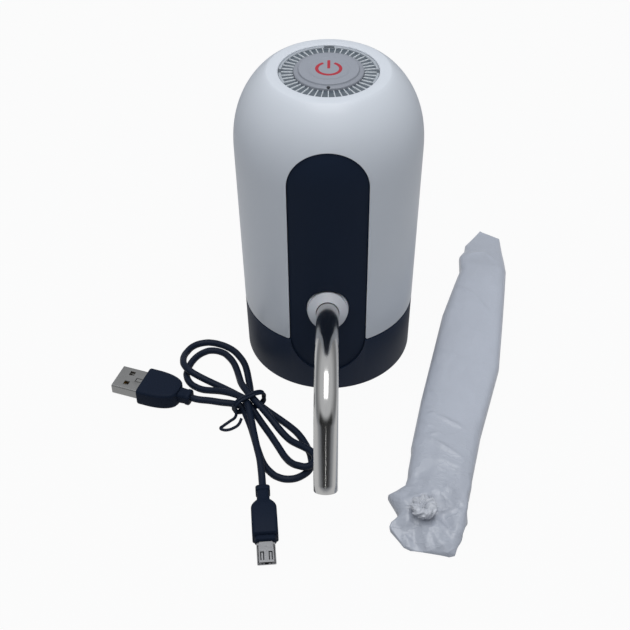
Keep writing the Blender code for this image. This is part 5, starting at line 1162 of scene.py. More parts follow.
class PUMP_OT_button(bpy.types.Operator):
    """Builds the button with its dish, its power symbol and its small dark mark, a disc of painted shade for
    the notch at its front
    """

    bl_idname = "pump.button"
    bl_label = "Power button"

    def execute(self, context):
        body = values("body")
        top = values("top")
        high = body.height + top.button_rise
        lip_top = body.height - top.ring_sink - top.sleeve_depth - body.clearance
        lip_low = lip_top - 0.001
        roof = high - top.button_top_wall
        post, post_low = 0.0018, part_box("power_button")[0].z
        inside = top.button_radius - top.button_wall
        lip = top.button_radius + top.button_lip
        step = high - top.button_step
        dish = high - top.dish_depth
        slope, soft = 0.0007, 0.0012
        button = turned("button", rounded([
            (0, post_low), (post, post_low), (post, roof), (inside, roof), (inside, lip_low), (lip, lip_low),
            (lip, lip_top), (top.button_radius, lip_top), (top.button_radius, step, top.button_edge),
            (top.button_flat + 0.0003, step, FINE_EDGE), (top.button_flat, high, FINE_EDGE),
            (top.dish_radius + slope, high, soft), (top.dish_radius - slope, dish, soft), (0, dish),
        ], 6), top.ring_steps)
        settled(smoothed(button, 40), "button", "satin_grey", "grey_button", "power_button")
        self.symbol(top, dish)
        # A small dark disc at the front, flush with the step: painted shade for a notch
        foot, head = step - 0.0008, step + HAIR
        mark = turned("mark", rounded([
            (0, foot), (top.notch_shade_radius, foot), (top.notch_shade_radius, head, 0.00006), (0, head),
        ]), 24, (0, 1.08 * top.notch_shade_radius - top.button_radius))
        settled(smoothed(mark, 40), "button", "notch_shade_and_tongue_black", "grey_button")
        return {"FINISHED"}

    def symbol(self, top, level):
        """The power symbol: an open ring and a bar, a hair above the dish."""
        gap = math.degrees(top.symbol_gap)
        inner = top.symbol_radius - top.symbol_stroke
        open_ring = arc((0, 0), top.symbol_radius, 90 + gap, 450 - gap, 64)
        open_ring += arc((0, 0), inner, 450 - gap, 90 + gap, 64)
        low, high = level - HAIR, level + HAIR / 2
        ring = pushed("symbol", open_ring, low, high)
        half = 0.44 * top.symbol_stroke
        corners = block_outline((-half, HAIR), (half, top.symbol_bar))
        bar = pushed("bar", rounded([(x, y, half / 2) for x, y in corners]), low, high)
        symbol = placed(joined(ring, bar), Matrix.Translation((0, top.symbol_shift, 0)))
        bevelled(symbol, 0.00003, 1)
        settled(smoothed(symbol, 40), "button", "red_ink", "grey_button")


# Gap between a plug's shell and its grip, and the metal at the back of a shell
GRIP_GAP = 0.0003
SHELL_BACK = 0.001


def plug_frame(tip, heading):
    """A frame at a plug's tip, with X along the plug towards its cable."""
    return Matrix.Translation(Vector(tip)) @ Matrix.Rotation(heading, 4, "Z")


def metal_shell(name, length, half_width, half_height, wall):
    """A folded metal shell, open at its tip."""
    outer = [section(x, half_width, half_height, 1.6 * wall) for x in (0.0, length)]
    deep = length - SHELL_BACK
    inner = [section(x, half_width - wall, half_height - wall, 0.8 * wall) for x in (-wall, deep)]
    return boolean(skinned(name, outer), skinned("inside", inner))


class PUMP_OT_large_plug(bpy.types.Operator):
    """Builds the large charging plug: its shell, its tongue with contacts and its grip"""

    bl_idname = "pump.large_plug"
    bl_label = "Large plug"

    def execute(self, context):
        lead = values("lead")
        matrix = plug_frame(lead.usb_tip, lead.usb_heading)
        self.shell(lead, matrix)
        self.tongue(lead, matrix)
        self.grip(lead, matrix)
        return {"FINISHED"}

    def shell(self, lead, matrix):
        """The shell: two windows above and below with springs in them, a stamp, and a seam slot."""
        tall, wall = lead.usb_half_height, lead.usb_wall
        shell = metal_shell("large_plug_shell", lead.usb_length, lead.usb_half_width, tall, wall)
        half = lead.usb_window / 2
        slim = 0.6 * half
        x = lead.usb_window_setback
        springs = []
        for side in (-1, 1):
            y = side * lead.usb_window_offset
            cut(shell, block_outline((x - half, y - half), (x + half, y + half)), -2 * tall, 2 * tall)
            for level in (-1, 1):
                plate = block_outline((x - slim, y - slim), (x + slim, y + slim))
                low = level * (tall - 3.2 * wall)
                springs.append(pushed("spring", plate, low - wall / 4, low + wall / 4))
        end = lead.usb_length - 0.0004
        # An open square, as three strokes: from and to along the plug, then across it
        for near, far, low, high in (
            (0.0026, 0, -0.0011, -0.0007), (0.0026, 0, 0.0007, 0.0011), (0.0026, 0.0022, -0.0011, 0.0011),
        ):
            cut(shell, block_outline((end - near, low), (end - far, high)), tall - 0.9 * wall, tall + wall)
        seam = block_outline((-wall, -0.00004), (lead.usb_length, 0.00004))
        cut(shell, seam, -tall - wall, -tall + wall / 4)
        bevelled(shell, 0.00006, 1, 50)
        placed(joined(shell, *springs), matrix)
        settled(smoothed(shell, 35), "charging_lead", "plated_steel", "plated_steel", "usb_shell")

    def tongue(self, lead, matrix):
        """The white tongue low in the shell, with its four contacts on top."""
        low = lead.usb_wall + 0.0003 - lead.usb_half_height
        half, thick = 0.0052, 0.0018
        outline = block_outline((0.001, -half), (lead.usb_length - 0.0013, half))
        tongue = placed(bevelled(pushed("tongue", outline, low, low + thick), 0.00015, 2), matrix)
        settled(smoothed(tongue), "charging_lead", "tongue_white", "white_tongue", "usb_tongue")
        contacts = []
        near, far, slim = 0.0016, 0.0086, 0.0006
        for y in (-0.0035, -0.00115, 0.00115, 0.0035):
            strip = block_outline((near, y - slim), (far, y + slim))
            contacts.append(bevelled(pushed("contacts", strip, low + 0.00175, low + 0.0019), 0.00005, 1))
        contacts = placed(joined(*contacts), matrix)
        settled(smoothed(contacts), "charging_lead", "gold_contact", "plated_steel")

    def grip(self, lead, matrix):
        """The grip: square shoulders at the shell, a round back, and a strain relief with a flange."""
        start = lead.usb_length + GRIP_GAP
        wide, narrow = lead.usb_grip_half_width, lead.usb_relief_half_width
        tall = lead.usb_grip_half_height
        sections = [(start, wide - 0.0006, tall - 0.0006), (start + 0.0002, wide - 0.0002, tall - 0.0002)]
        steps = 24
        for step in range(1, steps + 1):
            x = lead.usb_grip_length * step / steps
            along = max(0.0, x - lead.usb_grip_straight) / (lead.usb_grip_length - lead.usb_grip_straight)
            droop = 1 - 0.1 * along ** 6
            sections.append((start + x, narrow + (wide - narrow) * math.sqrt(1 - along ** 2), tall * droop))
        end = start + lead.usb_grip_length
        low = lead.usb_relief_half_height
        relief = lead.usb_relief_length
        sections += [
            (end + HAIR, narrow - 0.0002, low), (end + 0.6 * relief, narrow - 0.0003, low - 0.0002),
            (end + 0.66 * relief, narrow - 0.0001, low), (end + 0.92 * relief, narrow - 0.0001, low),
            (end + relief, narrow - 0.0004, low - 0.0003),
        ]
        grip = skinned("large_grip", [section(*sizes, 0.0014, 6) for sizes in sections])
        placed(grip, matrix)
        settled(smoothed(grip, 50), "charging_lead", "grip_rubber", "black_rubber", "usb_grip")


class PUMP_OT_small_plug(bpy.types.Operator):
    """Builds the small charging plug: its shell with stamped marks, its tongue and its grip"""

    bl_idname = "pump.small_plug"
    bl_label = "Small plug"

    def execute(self, context):
        lead = values("lead")
        matrix = plug_frame(lead.micro_tip, lead.micro_heading)
        self.shell(lead, matrix)
        self.tongue(matrix)
        self.grip(lead, matrix)
        return {"FINISHED"}

    def shell(self, lead, matrix):
        """The shell: sloping sides, two n-shaped cuts, a dashed middle line and a round dimple."""
        tall, wall = lead.micro_half_height, lead.micro_wall
        shell = metal_shell("small_plug_shell", lead.micro_length, lead.micro_half_width, tall, wall)
        for side in (-1, 1):
            edge = side * lead.micro_half_width
            shoulder = edge - side * 0.0010
            wedge = [(shoulder, 2 * tall), (shoulder, tall), (edge, -0.2 * tall), (2 * edge, 2 * tall)]
            cut(shell, wedge, -wall, lead.micro_length + wall, OUTWARD)
            y = side * 0.0015
            # Two legs and the bar between them: from and to along the plug, then across it
            for low, high, near, far in (
                (0.0007, 0.0044, -0.0007, -0.0003), (0.0007, 0.0044, 0.0003, 0.0007),
                (0.0040, 0.0045, -0.0007, 0.0007),
            ):
                cut(shell, block_outline((low, y + near), (high, y + far)), tall - 1.3 * wall, tall + wall)
        marks = [block_outline((low, -0.00012), (high, 0.00012)) for low, high in (
            (0.0006, 0.0010), (0.0022, 0.0028), (0.0034, 0.0048),
        )]
        for mark in (*marks, arc((0.0064, 0), 0.0004, 0, 345, 23)):
            cut(shell, mark, tall - 0.5 * wall, tall + wall)
        shell = placed(bevelled(shell, 0.00004, 1, 50), matrix)
        settled(smoothed(shell, 35), "charging_lead", "bright_plate", "plated_steel", "micro_shell")

    def tongue(self, matrix):
        """A dark tongue, which shows through the cuts."""
        outline = block_outline((0.0012, -0.0022), (0.0078, 0.0022))
        tongue = bevelled(pushed("small_tongue", outline, -0.00025, 0.00015), 0.00005, 1)
        settled(smoothed(placed(tongue, matrix)), "charging_lead", "notch_shade_and_tongue_black", "black_rubber")

    def grip(self, lead, matrix):
        """The grip: a lip at the shell, a long barrel, a taper, and a strain relief with a flange."""
        start = lead.micro_length + GRIP_GAP
        lip_end = start + lead.micro_lip_length
        grip_end = lip_end + lead.micro_grip_length
        taper_end = grip_end + lead.micro_taper
        end = taper_end + lead.micro_relief
        wide, tall = lead.micro_grip_half_width, lead.micro_grip_half_height
        thin = lead.micro_relief_half_width
        lip, low = lead.micro_lip_half_width, lead.micro_lip_half_height
        sections = [
            (start, lip - 0.0004, low - 0.0004), (start + 0.0003, lip, low), (lip_end, lip, low),
            (lip_end + HAIR, wide - 0.0003, tall - 0.0003), (lip_end + 0.0005, wide, tall),
            (grip_end - 0.001, wide, tall),
        ]
        steps = 8
        for step in range(1, steps + 1):
            along = step / steps
            ease = math.cos(along * math.pi / 2)
            x = grip_end - 0.001 + (lead.micro_taper + 0.001) * along
            sections.append((x, thin + (wide - thin) * ease, thin + (tall - thin) * ease))
        sections += [
            (taper_end + 0.62 * lead.micro_relief, thin - 0.0001, thin - 0.0001),
            (taper_end + 0.66 * lead.micro_relief, thin + 0.0003, thin + 0.0003),
            (end - 0.0004, thin + 0.0003, thin + 0.0003), (end, thin - 0.0001, thin - 0.0001),
        ]
        grip = skinned("small_grip", [section(*sizes, 0.0013, 6) for sizes in sections])
        placed(grip, matrix)
        settled(smoothed(grip, 50), "charging_lead", "grip_rubber", "black_rubber", "micro_grip")


# The lead's route, as the part has it: through the waist five times, round two lobes on each side
LEAD_IN = (
    (-0.0468, -0.0441, 0.0031), (-0.0422, -0.0446, 0.0027), (-0.0385, -0.0451, 0.0027),
    (-0.0362, -0.0459, 0.0028),
)
OUTER_LOBE = (
    (-0.0320, -0.0514, 0.0022), (-0.0298, -0.0572, 0.0015), (-0.0279, -0.0640, 0.0015),
    (-0.0260, -0.0706, 0.0015), (-0.0234, -0.0771, 0.0015), (-0.0189, -0.0821, 0.0015),
    (-0.0140, -0.0834, 0.0015), (-0.0092, -0.0816, 0.0015), (-0.0060, -0.0773, 0.0015),
    (-0.0061, -0.0719, 0.0015), (-0.0085, -0.0652, 0.0015), (-0.0120, -0.0593, 0.0015),
    (-0.0172, -0.0539, 0.0015), (-0.0231, -0.0489, 0.0019),
)
OUTER_TURN = (
    (-0.0310, -0.0386, 0.0020), (-0.0316, -0.0346, 0.0015), (-0.0326, -0.0292, 0.0015),
    (-0.0348, -0.0207, 0.0015), (-0.0398, -0.0130, 0.0015), (-0.0461, -0.0091, 0.0015),
    (-0.0518, -0.0082, 0.0015), (-0.0566, -0.0102, 0.0015), (-0.0594, -0.0150, 0.0020),
    (-0.0600, -0.0206, 0.0036), (-0.0589, -0.0256, 0.0048), (-0.0558, -0.0293, 0.0048),
    (-0.0501, -0.0320, 0.0032), (-0.0442, -0.0341, 0.0015), (-0.0393, -0.0373, 0.0016),
    (-0.0350, -0.0412, 0.0024),
)
INNER_LOBE = (
    (-0.0282, -0.0505, 0.0020), (-0.0254, -0.0552, 0.0015), (-0.0221, -0.0609, 0.0015),
    (-0.0187, -0.0672, 0.0015), (-0.0159, -0.0727, 0.0019), (-0.0130, -0.0773, 0.0035),
    (-0.0106, -0.0795, 0.0048), (-0.0076, -0.0800, 0.0048), (-0.0052, -0.0783, 0.0048),
    (-0.0044, -0.0755, 0.0048), (-0.0056, -0.0727, 0.0048), (-0.0089, -0.0696, 0.0043),
    (-0.0140, -0.0646, 0.0024), (-0.0182, -0.0596, 0.0027), (-0.0219, -0.0549, 0.0042),
    (-0.0258, -0.0502, 0.0055),
)
INNER_TURN = (
    (-0.0332, -0.0394, 0.0054), (-0.0352, -0.0342, 0.0036), (-0.0367, -0.0278, 0.0017),
    (-0.0393, -0.0203, 0.0015), (-0.0439, -0.0145, 0.0015), (-0.0494, -0.0131, 0.0015),
    (-0.0543, -0.0162, 0.0015), (-0.0573, -0.0220, 0.0015), (-0.0580, -0.0284, 0.0015),
    (-0.0558, -0.0330, 0.0015), (-0.0508, -0.0363, 0.0016), (-0.0443, -0.0388, 0.0034),
    (-0.0384, -0.0423, 0.0056),
)
LEAD_OUT = (
    (-0.0304, -0.0532, 0.0056), (-0.0288, -0.0607, 0.0049), (-0.0269, -0.0696, 0.0047),
    (-0.0252, -0.0769, 0.0047),
)
TIE_TAIL = (
    (-0.0363, -0.0519, 0.0022), (-0.0385, -0.0535, 0.0012), (-0.0410, -0.0557, 0.0008),
    (-0.0419, -0.0569, 0.0008), (-0.0409, -0.0577, 0.0008), (-0.0391, -0.0578, 0.0008),
    (-0.0368, -0.0567, 0.0008), (-0.0349, -0.0549, 0.0010), (-0.0339, -0.0527, 0.0020),
)
WAIST = Vector((-0.0315, -0.0456, 0.0030))
WAIST_ACROSS = Vector((math.cos(math.radians(30)), math.sin(math.radians(30)), 0))
WAIST_ALONG = Vector((math.cos(math.radians(-60)), math.sin(math.radians(-60)), 0))
STRAND_STEP = 0.00155
LAYER_RISE = 0.0033


def waist_point(strand, layer=0):
    return WAIST + Vector((0, 0, layer * LAYER_RISE)) + (strand - 2) * STRAND_STEP * WAIST_ACROSS


def lead_ends(lead):
    """Where the cable leaves each plug, and which way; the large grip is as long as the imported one."""
    large = plug_frame(lead.usb_tip, lead.usb_heading)
    small = plug_frame(lead.micro_tip, lead.micro_heading)
    back = large.inverted()
    large_length = max((back @ corner.co).x for corner in frame["nodes"]["usb_grip"].data.vertices)
    small_length = lead.micro_length + GRIP_GAP + lead.micro_lip_length + lead.micro_grip_length
    small_length += lead.micro_taper + lead.micro_relief
    for matrix, length in ((large, large_length), (small, small_length)):
        yield matrix @ Vector((length, 0, 0)), matrix.to_3x3() @ Vector((1, 0, 0))


class PUMP_OT_lead(bpy.types.Operator):
    """Lays the charging cable along its route and ties it at the waist"""

    bl_idname = "pump.lead"
    bl_label = "Charging cable and tie"

    def execute(self, context):
        lead = values("lead")
        (large_end, large_way), (small_end, small_way) = lead_ends(lead)
        gap = values("body").clearance
        points = [large_end + gap * large_way, large_end + 2 * lead.radius * large_way, *LEAD_IN]
        points += [waist_point(0), *OUTER_LOBE, waist_point(4), *OUTER_TURN]
        points += [waist_point(2), *INNER_LOBE, waist_point(3, 1), *INNER_TURN, waist_point(1, 1), *LEAD_OUT]
        points += [small_end + 3 * lead.radius * small_way, small_end + gap * small_way]
        route = smooth_route(points, lead.step)
        cable = round_cord("cable", route, lead.radius)
        settled(cable, "charging_lead", "black_rubber", "black_rubber", "charging_cable")
        tuple(route[0])
        route_length(smooth_route(points, lead.radius))
        self.tie(lead)
        return {"FINISHED"}

    def tie(self, lead):
        """The wire tie: two flattened turns round the waist, then a small loop on the table."""
        clear = lead.radius + 0.0003 + lead.tie_radius
        half_width = 2 * STRAND_STEP + clear + 0.0011
        half_height = LAYER_RISE / 2 + clear
        centre = WAIST + Vector((0, 0, LAYER_RISE / 2)) + 0.0008 * WAIST_ALONG
        turns = []
        turn_steps, pitch = 12, 0.0013
        for step in range(2 * turn_steps + 1):
            turn = math.tau * step / turn_steps - math.pi
            cos, sin = math.cos(turn), math.sin(turn)
            flat = (cos ** 4 + sin ** 4) ** 0.25
            shift = pitch * (step / turn_steps - 1)
            wide = half_width * cos * WAIST_ACROSS
            turns.append(centre + (wide + Vector((0, 0, half_height * sin))) / flat + shift * WAIST_ALONG)
        route = turns + smooth_route([turns[-1], *TIE_TAIL], 4 * lead.tie_radius)[1:]
        tie = round_cord("tie", route, lead.tie_radius)
        settled(tie, "charging_lead", "tie_rubber", "black_rubber", "cable_tie")
        tuple(route[0])
        route_length(route)


# The bag's outline: distance along it from its head, then its left and right edges from its middle line
BAG_EDGES = (
    (-0.0046, -0.0034, -0.0028), (0.0000, -0.0050, 0.0063), (0.0108, -0.0087, 0.0081),
    (0.0165, -0.0085, 0.0091), (0.0222, -0.0102, 0.0102), (0.0299, -0.0092, 0.0115),
    (0.0338, -0.0087, 0.0117), (0.0438, -0.0099, 0.0122), (0.0666, -0.0125, 0.0132),
    (0.0927, -0.0134, 0.0142), (0.1177, -0.0143, 0.0120), (0.1311, -0.0144, 0.0108),
    (0.1431, -0.0145, 0.0104), (0.1447, -0.0141, 0.0103), (0.1615, -0.0138, 0.0098),
    (0.1634, -0.0160, 0.0097), (0.1667, -0.0195, 0.0099), (0.1712, -0.0163, 0.0102),
    (0.1737, -0.0145, 0.0098), (0.1773, -0.0169, 0.0092), (0.1795, -0.0171, 0.0086),
    (0.1852, -0.0109, 0.0074), (0.1862, -0.0080, 0.0055),
)
# Its height along it, as shares of the filled height
BAG_HEIGHTS = (
    (-0.0046, 0.06), (0.001, 0.16), (0.009, 0.34), (0.020, 0.62), (0.030, 0.82), (0.045, 0.96),
    (0.060, 1.0), (0.140, 1.0), (0.150, 0.94), (0.160, 0.84), (0.166, 0.74), (0.172, 0.62), (0.178, 0.5),
    (0.183, 0.3), (0.1862, 0.08),
)
# Creases: start and end as (along, across), height and width
BAG_CREASES = (
    ((0.0210, -0.0065), (0.0170, 0.0010), 0.0008, 0.0011),
    ((0.0170, 0.0010), (0.0250, 0.0062), 0.0005, 0.0010),
    ((0.0478, -0.0088), (0.0540, 0.0000), 0.0007, 0.0009),
    ((0.0540, 0.0000), (0.0640, 0.0068), 0.0006, 0.0008),
    ((0.0610, -0.0098), (0.0660, -0.0020), 0.0003, 0.0010),
    ((0.0760, 0.0000), (0.0780, 0.0060), 0.0003, 0.0009),
    ((0.0890, -0.0112), (0.0960, 0.0020), 0.0004, 0.0010),
    ((0.1140, -0.0120), (0.1165, -0.0080), 0.0006, 0.0008),
    ((0.1195, -0.0120), (0.1215, -0.0070), 0.0006, 0.0008),
    ((0.1240, -0.0110), (0.1255, -0.0072), 0.0007, 0.0008),
    ((0.1280, -0.0110), (0.1265, -0.0070), 0.0007, 0.0008),
    ((0.1275, -0.0078), (0.1330, 0.0040), 0.0012, 0.0010),
    ((0.1325, -0.0112), (0.1345, -0.0070), 0.0007, 0.0008),
    ((0.1390, -0.0092), (0.1370, -0.0040), 0.0007, 0.0008),
    ((0.1405, -0.0080), (0.1470, 0.0045), 0.0012, 0.0010),
    ((0.1490, -0.0040), (0.1520, 0.0060), 0.0005, 0.0012),
    ((0.1560, -0.0020), (0.1620, 0.0100), 0.0006, 0.0013),
    ((0.1610, 0.0000), (0.1680, 0.0110), 0.0008, 0.0012),
    ((0.1660, 0.0010), (0.1720, 0.0115), 0.0007, 0.0011),
    ((0.1745, -0.0010), (0.1800, 0.0085), 0.0009, 0.0010),
)
# The tail's folds: their direction in degrees, their pitch and their share of the height
BAG_FOLDS = ((35, 0.0190, 0.45), (-38, 0.0130, 0.3), (75, 0.0090, 0.15), (-70, 0.0060, 0.1))
# Where the film is loose: from how far along the bag, and the length over which it loosens
LOOSE_FROM, LOOSE_OVER = 0.150, 0.020
# Where the knot stands: how far along the bag, and how far left of its middle line
KNOT_ALONG, KNOT_ASIDE = 0.1730, 0.0056


def table_value(table, along, column=1):
    """Straight interpolation in a table of rows that start with a distance."""
    if along <= table[0][0]:
        return table[0][column]
    for first, second in zip(table, table[1:]):
        if along <= second[0]:
            part = (along - first[0]) / (second[0] - first[0])
            return first[column] + (second[column] - first[column]) * part
    return table[-1][column]


def near_line(point, start, end):
    """Distance from a point to a stretch of line, and how far along it the nearest place is."""
    start, end, point = Vector(start), Vector(end), Vector(point)
    span = end - start
    part = min(max((point - start).dot(span) / span.length_squared, 0), 1)
    return (point - start - span * part).length, part


def bag_frame(bag):
    """The bag's far end, the ways along it and across it on the table, and its length to the mouth."""
    head = Vector((*bag.head, 0))
    reach = Vector((*bag.mouth, 0)) - head
    forward = reach.normalized()
    return head, forward, Vector((-forward.y, forward.x, 0)), reach.length


class PUMP_OT_bag(bpy.types.Operator):
    """Builds the film bag with its creases, its twisted knot and its crumpled tail"""

    bl_idname = "pump.bag"
    bl_label = "Hose bag"

    def execute(self, context):
        bag = values("bag")
        head, forward, across, _ = bag_frame(bag)
        rings = []
        first, last = BAG_EDGES[0][0], BAG_EDGES[-1][0]
        for row in range(bag.rows + 1):
            along = first + (last - first) * row / bag.rows
            rings.append([self.point(bag, head, forward, across, along, k) for k in range(bag.columns)])
        film = skinned("bag_film", rings)
        settled(smoothed(film, 80), "bagged_hose", "milky_film", "milky_film", "hose_bag")
        self.knot(bag, head, forward, across)
        return {"FINISHED"}

    def point(self, bag, head, forward, across, along, number):
        """A point of the film: a flattened section between the outline's edges, creased and rippled."""
        left, right = table_value(BAG_EDGES, along), table_value(BAG_EDGES, along, 2)
        tall = table_value(BAG_HEIGHTS, along) * bag.height
        turn = math.tau * (number + 0.5) / bag.columns
        cos, sin = math.cos(turn), math.sin(turn)
        flat = (abs(cos) ** bag.square_power + abs(sin) ** bag.square_power) ** (1 / bag.square_power)
        side = (left + right) / 2 + (right - left) / 2 * cos / flat
        level = tall / 2 * (1 + sin / flat)
        upper = max(0.0, sin / flat) * (1 - abs(cos / flat) ** 8)
        lift = 0.0
        for start, end, high, wide in BAG_CREASES:
            space, part = near_line((along, side), start, end)
            if space < 3 * wide:
                lift += 0.7 * high * (1 - space / (3 * wide)) ** 3 * math.sin(math.pi * (0.1 + 0.8 * part))
        loose = min(max((along - LOOSE_FROM) / LOOSE_OVER, 0), 1)
        ripple = noise.noise(Vector((60 * along, 160 * side, 0.4)))
        ripple += 0.5 * noise.noise(Vector((170 * along, 420 * side, 2.7)))
        lift += bag.ripple * (1 + loose) * ripple + loose * bag.crumple * self.folds(along, side)
        shift = loose * 0.0011 * noise.noise(Vector((200 * along, 9.1, 300 * level)))
        level = max(0.0004 * (1 - sin), level + upper * lift)
        return head + forward * (along + shift) + across * (side + shift) + Vector((0, 0, level))

    def folds(self, along, side):
        """Crumpled film: sharp folds that cross each other, from -1 to 1."""
        warp = 0.35 * noise.noise(Vector((45 * along, 45 * side, 3.1)))
        total = 0.0
        for turn_deg, pitch, part in BAG_FOLDS:
            turn = math.radians(turn_deg)
            wave = ((along * math.cos(turn) + side * math.sin(turn)) / pitch + warp) % 1
            total += part * (4 * abs(wave - 0.5) - 1)
        return total

    def knot(self, bag, head, forward, across):
        """The knot: a pleated bud of twisted film that opens upwards and sinks in at its top."""
        centre = head + forward * KNOT_ALONG - across * KNOT_ASIDE
        low = 0.55 * bag.height
        rows, columns = 40, 96
        rings = []
        for row in range(rows + 1):
            rise = row / rows
            radius = bag.knot_radius * (0.25 + 0.75 * math.sin(math.pi * (0.12 + 0.80 * rise)) ** 0.8)
            dip = 0.0018 * max(0.0, rise - 0.85) / 0.15
            level = low + (bag.knot_top - low) * math.sin(rise * math.pi / 2) - dip
            if rise > 0.75:
                radius *= 1 - 0.82 * (rise - 0.75) / 0.25
            ring = []
            for k in range(columns):
                turn = math.tau * k / columns
                twist = turn + 1.6 * rise
                pleat = 0.07 * math.sin(7 * twist) + 0.05 * math.sin(11 * twist + 1.3)
                pleat += 0.03 * math.sin(19 * twist + 4 * rise)
                out = radius * (1 + pleat * min(1, 2.2 * rise + 0.3))
                crumple = 0.0006 * noise.noise(Vector((3 * math.cos(turn), 3 * math.sin(turn), 5 * rise)))
                spot = centre + out * (math.cos(turn) * across + math.sin(turn) * forward)
                ring.append(spot + Vector((0, 0, level + crumple + 0.0004 * math.sin(7 * twist) * rise)))
            rings.append(ring)
        knot = skinned("bag_knot", rings)
        settled(smoothed(knot, 70), "bagged_hose", "knotted_film", "milky_film")


class PUMP_OT_hose(bpy.types.Operator):
    """Lays the suction hose to and fro in its bag"""

    bl_idname = "pump.hose"
    bl_label = "Suction hose"

    def execute(self, context):
        bag = values("bag")
        head, forward, across, length = bag_frame(bag)
        level = Vector((0, 0, bag.height / 2))
        bend = bag.hose_pitch / 2
        near, far = bag.hose_start * length + bend, bag.hose_end * length - bend
        run_steps, bend_steps = 10, 12
        route = []
        for run in range(bag.hose_runs):
            offset = (run - (bag.hose_runs - 1) / 2) * bag.hose_pitch - bag.hose_shift
            start, end = (near, far) if run % 2 == 0 else (far, near)
            for step in range(run_steps + 1):
                along = start + (end - start) * step / run_steps
                route.append(head + forward * along + across * offset + level)
            if run == bag.hose_runs - 1:
                break
            way = 1 if run % 2 == 0 else -1
            for step in range(1, bend_steps):
                turn = math.pi * step / bend_steps
                side = across * (offset + bend * (1 - math.cos(turn)))
                route.append(head + forward * (end + way * bend * math.sin(turn)) + side + level)
        hose = smoothed(pipe("hose", route, bag.hose_radius, bag.hose_bore, 32), 50)
        settled(hose, "bagged_hose", "hose_silicone", "white_silicone", "suction_hose")
        tuple(route[0])
        route_length(route)
        [tuple(point) for point in route]
        return {"FINISHED"}


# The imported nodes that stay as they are, by finish
INNER_LOOKS = {
    "frame_grey": (
        "chassis_plate", "battery_cap", "pump_head", "valve_plate", "pump_body", "outlet_socket",
        "motor_end_cap", "wobble_plate", "eccentric_cam", "tact_switch",
    ),
    "soft_silicone": ("diaphragm", "intake_tube", "outlet_tube"),
    "black_rubber": ("spout_oring_inner", "spout_oring_outer"),
    "plated_steel": (
        "pump_screw_1", "pump_screw_2", "pump_screw_3", "pump_screw_4", "motor_can", "motor_shaft",
        "button_spring", "board_screw_left", "board_screw_right", "usb_socket",
    ),
    "wound_copper": ("motor_armature",),
    "sleeve_blue": ("battery_cell",),
    "board_green": ("charge_board", "switch_board"),
    "lamp_lens": ("led_1", "led_2", "led_3", "led_4"),
    "wire_red": ("battery_wire_positive", "motor_wire_positive"),
    "wire_black": ("battery_wire_negative", "motor_wire_negative", "switch_lead"),
}


class PUMP_OT_works(bpy.types.Operator):
    """Gives the works inside their finishes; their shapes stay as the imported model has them"""

    bl_idname = "pump.works"
    bl_label = "Works inside"

    def execute(self, context):
        for look, names in INNER_LOOKS.items():
            for name in names:
                node = frame["nodes"][name]
                node.data.materials.clear()
                node.data.materials.append(LOOKS[look])
        return {"FINISHED"}


class PUMP_OT_finishes(bpy.types.Operator):
    """Makes every finish from its colour"""

    bl_idname = "pump.finishes"
    bl_label = "Finishes"

    def execute(self, context):
        make_finishes()
        return {"FINISHED"}


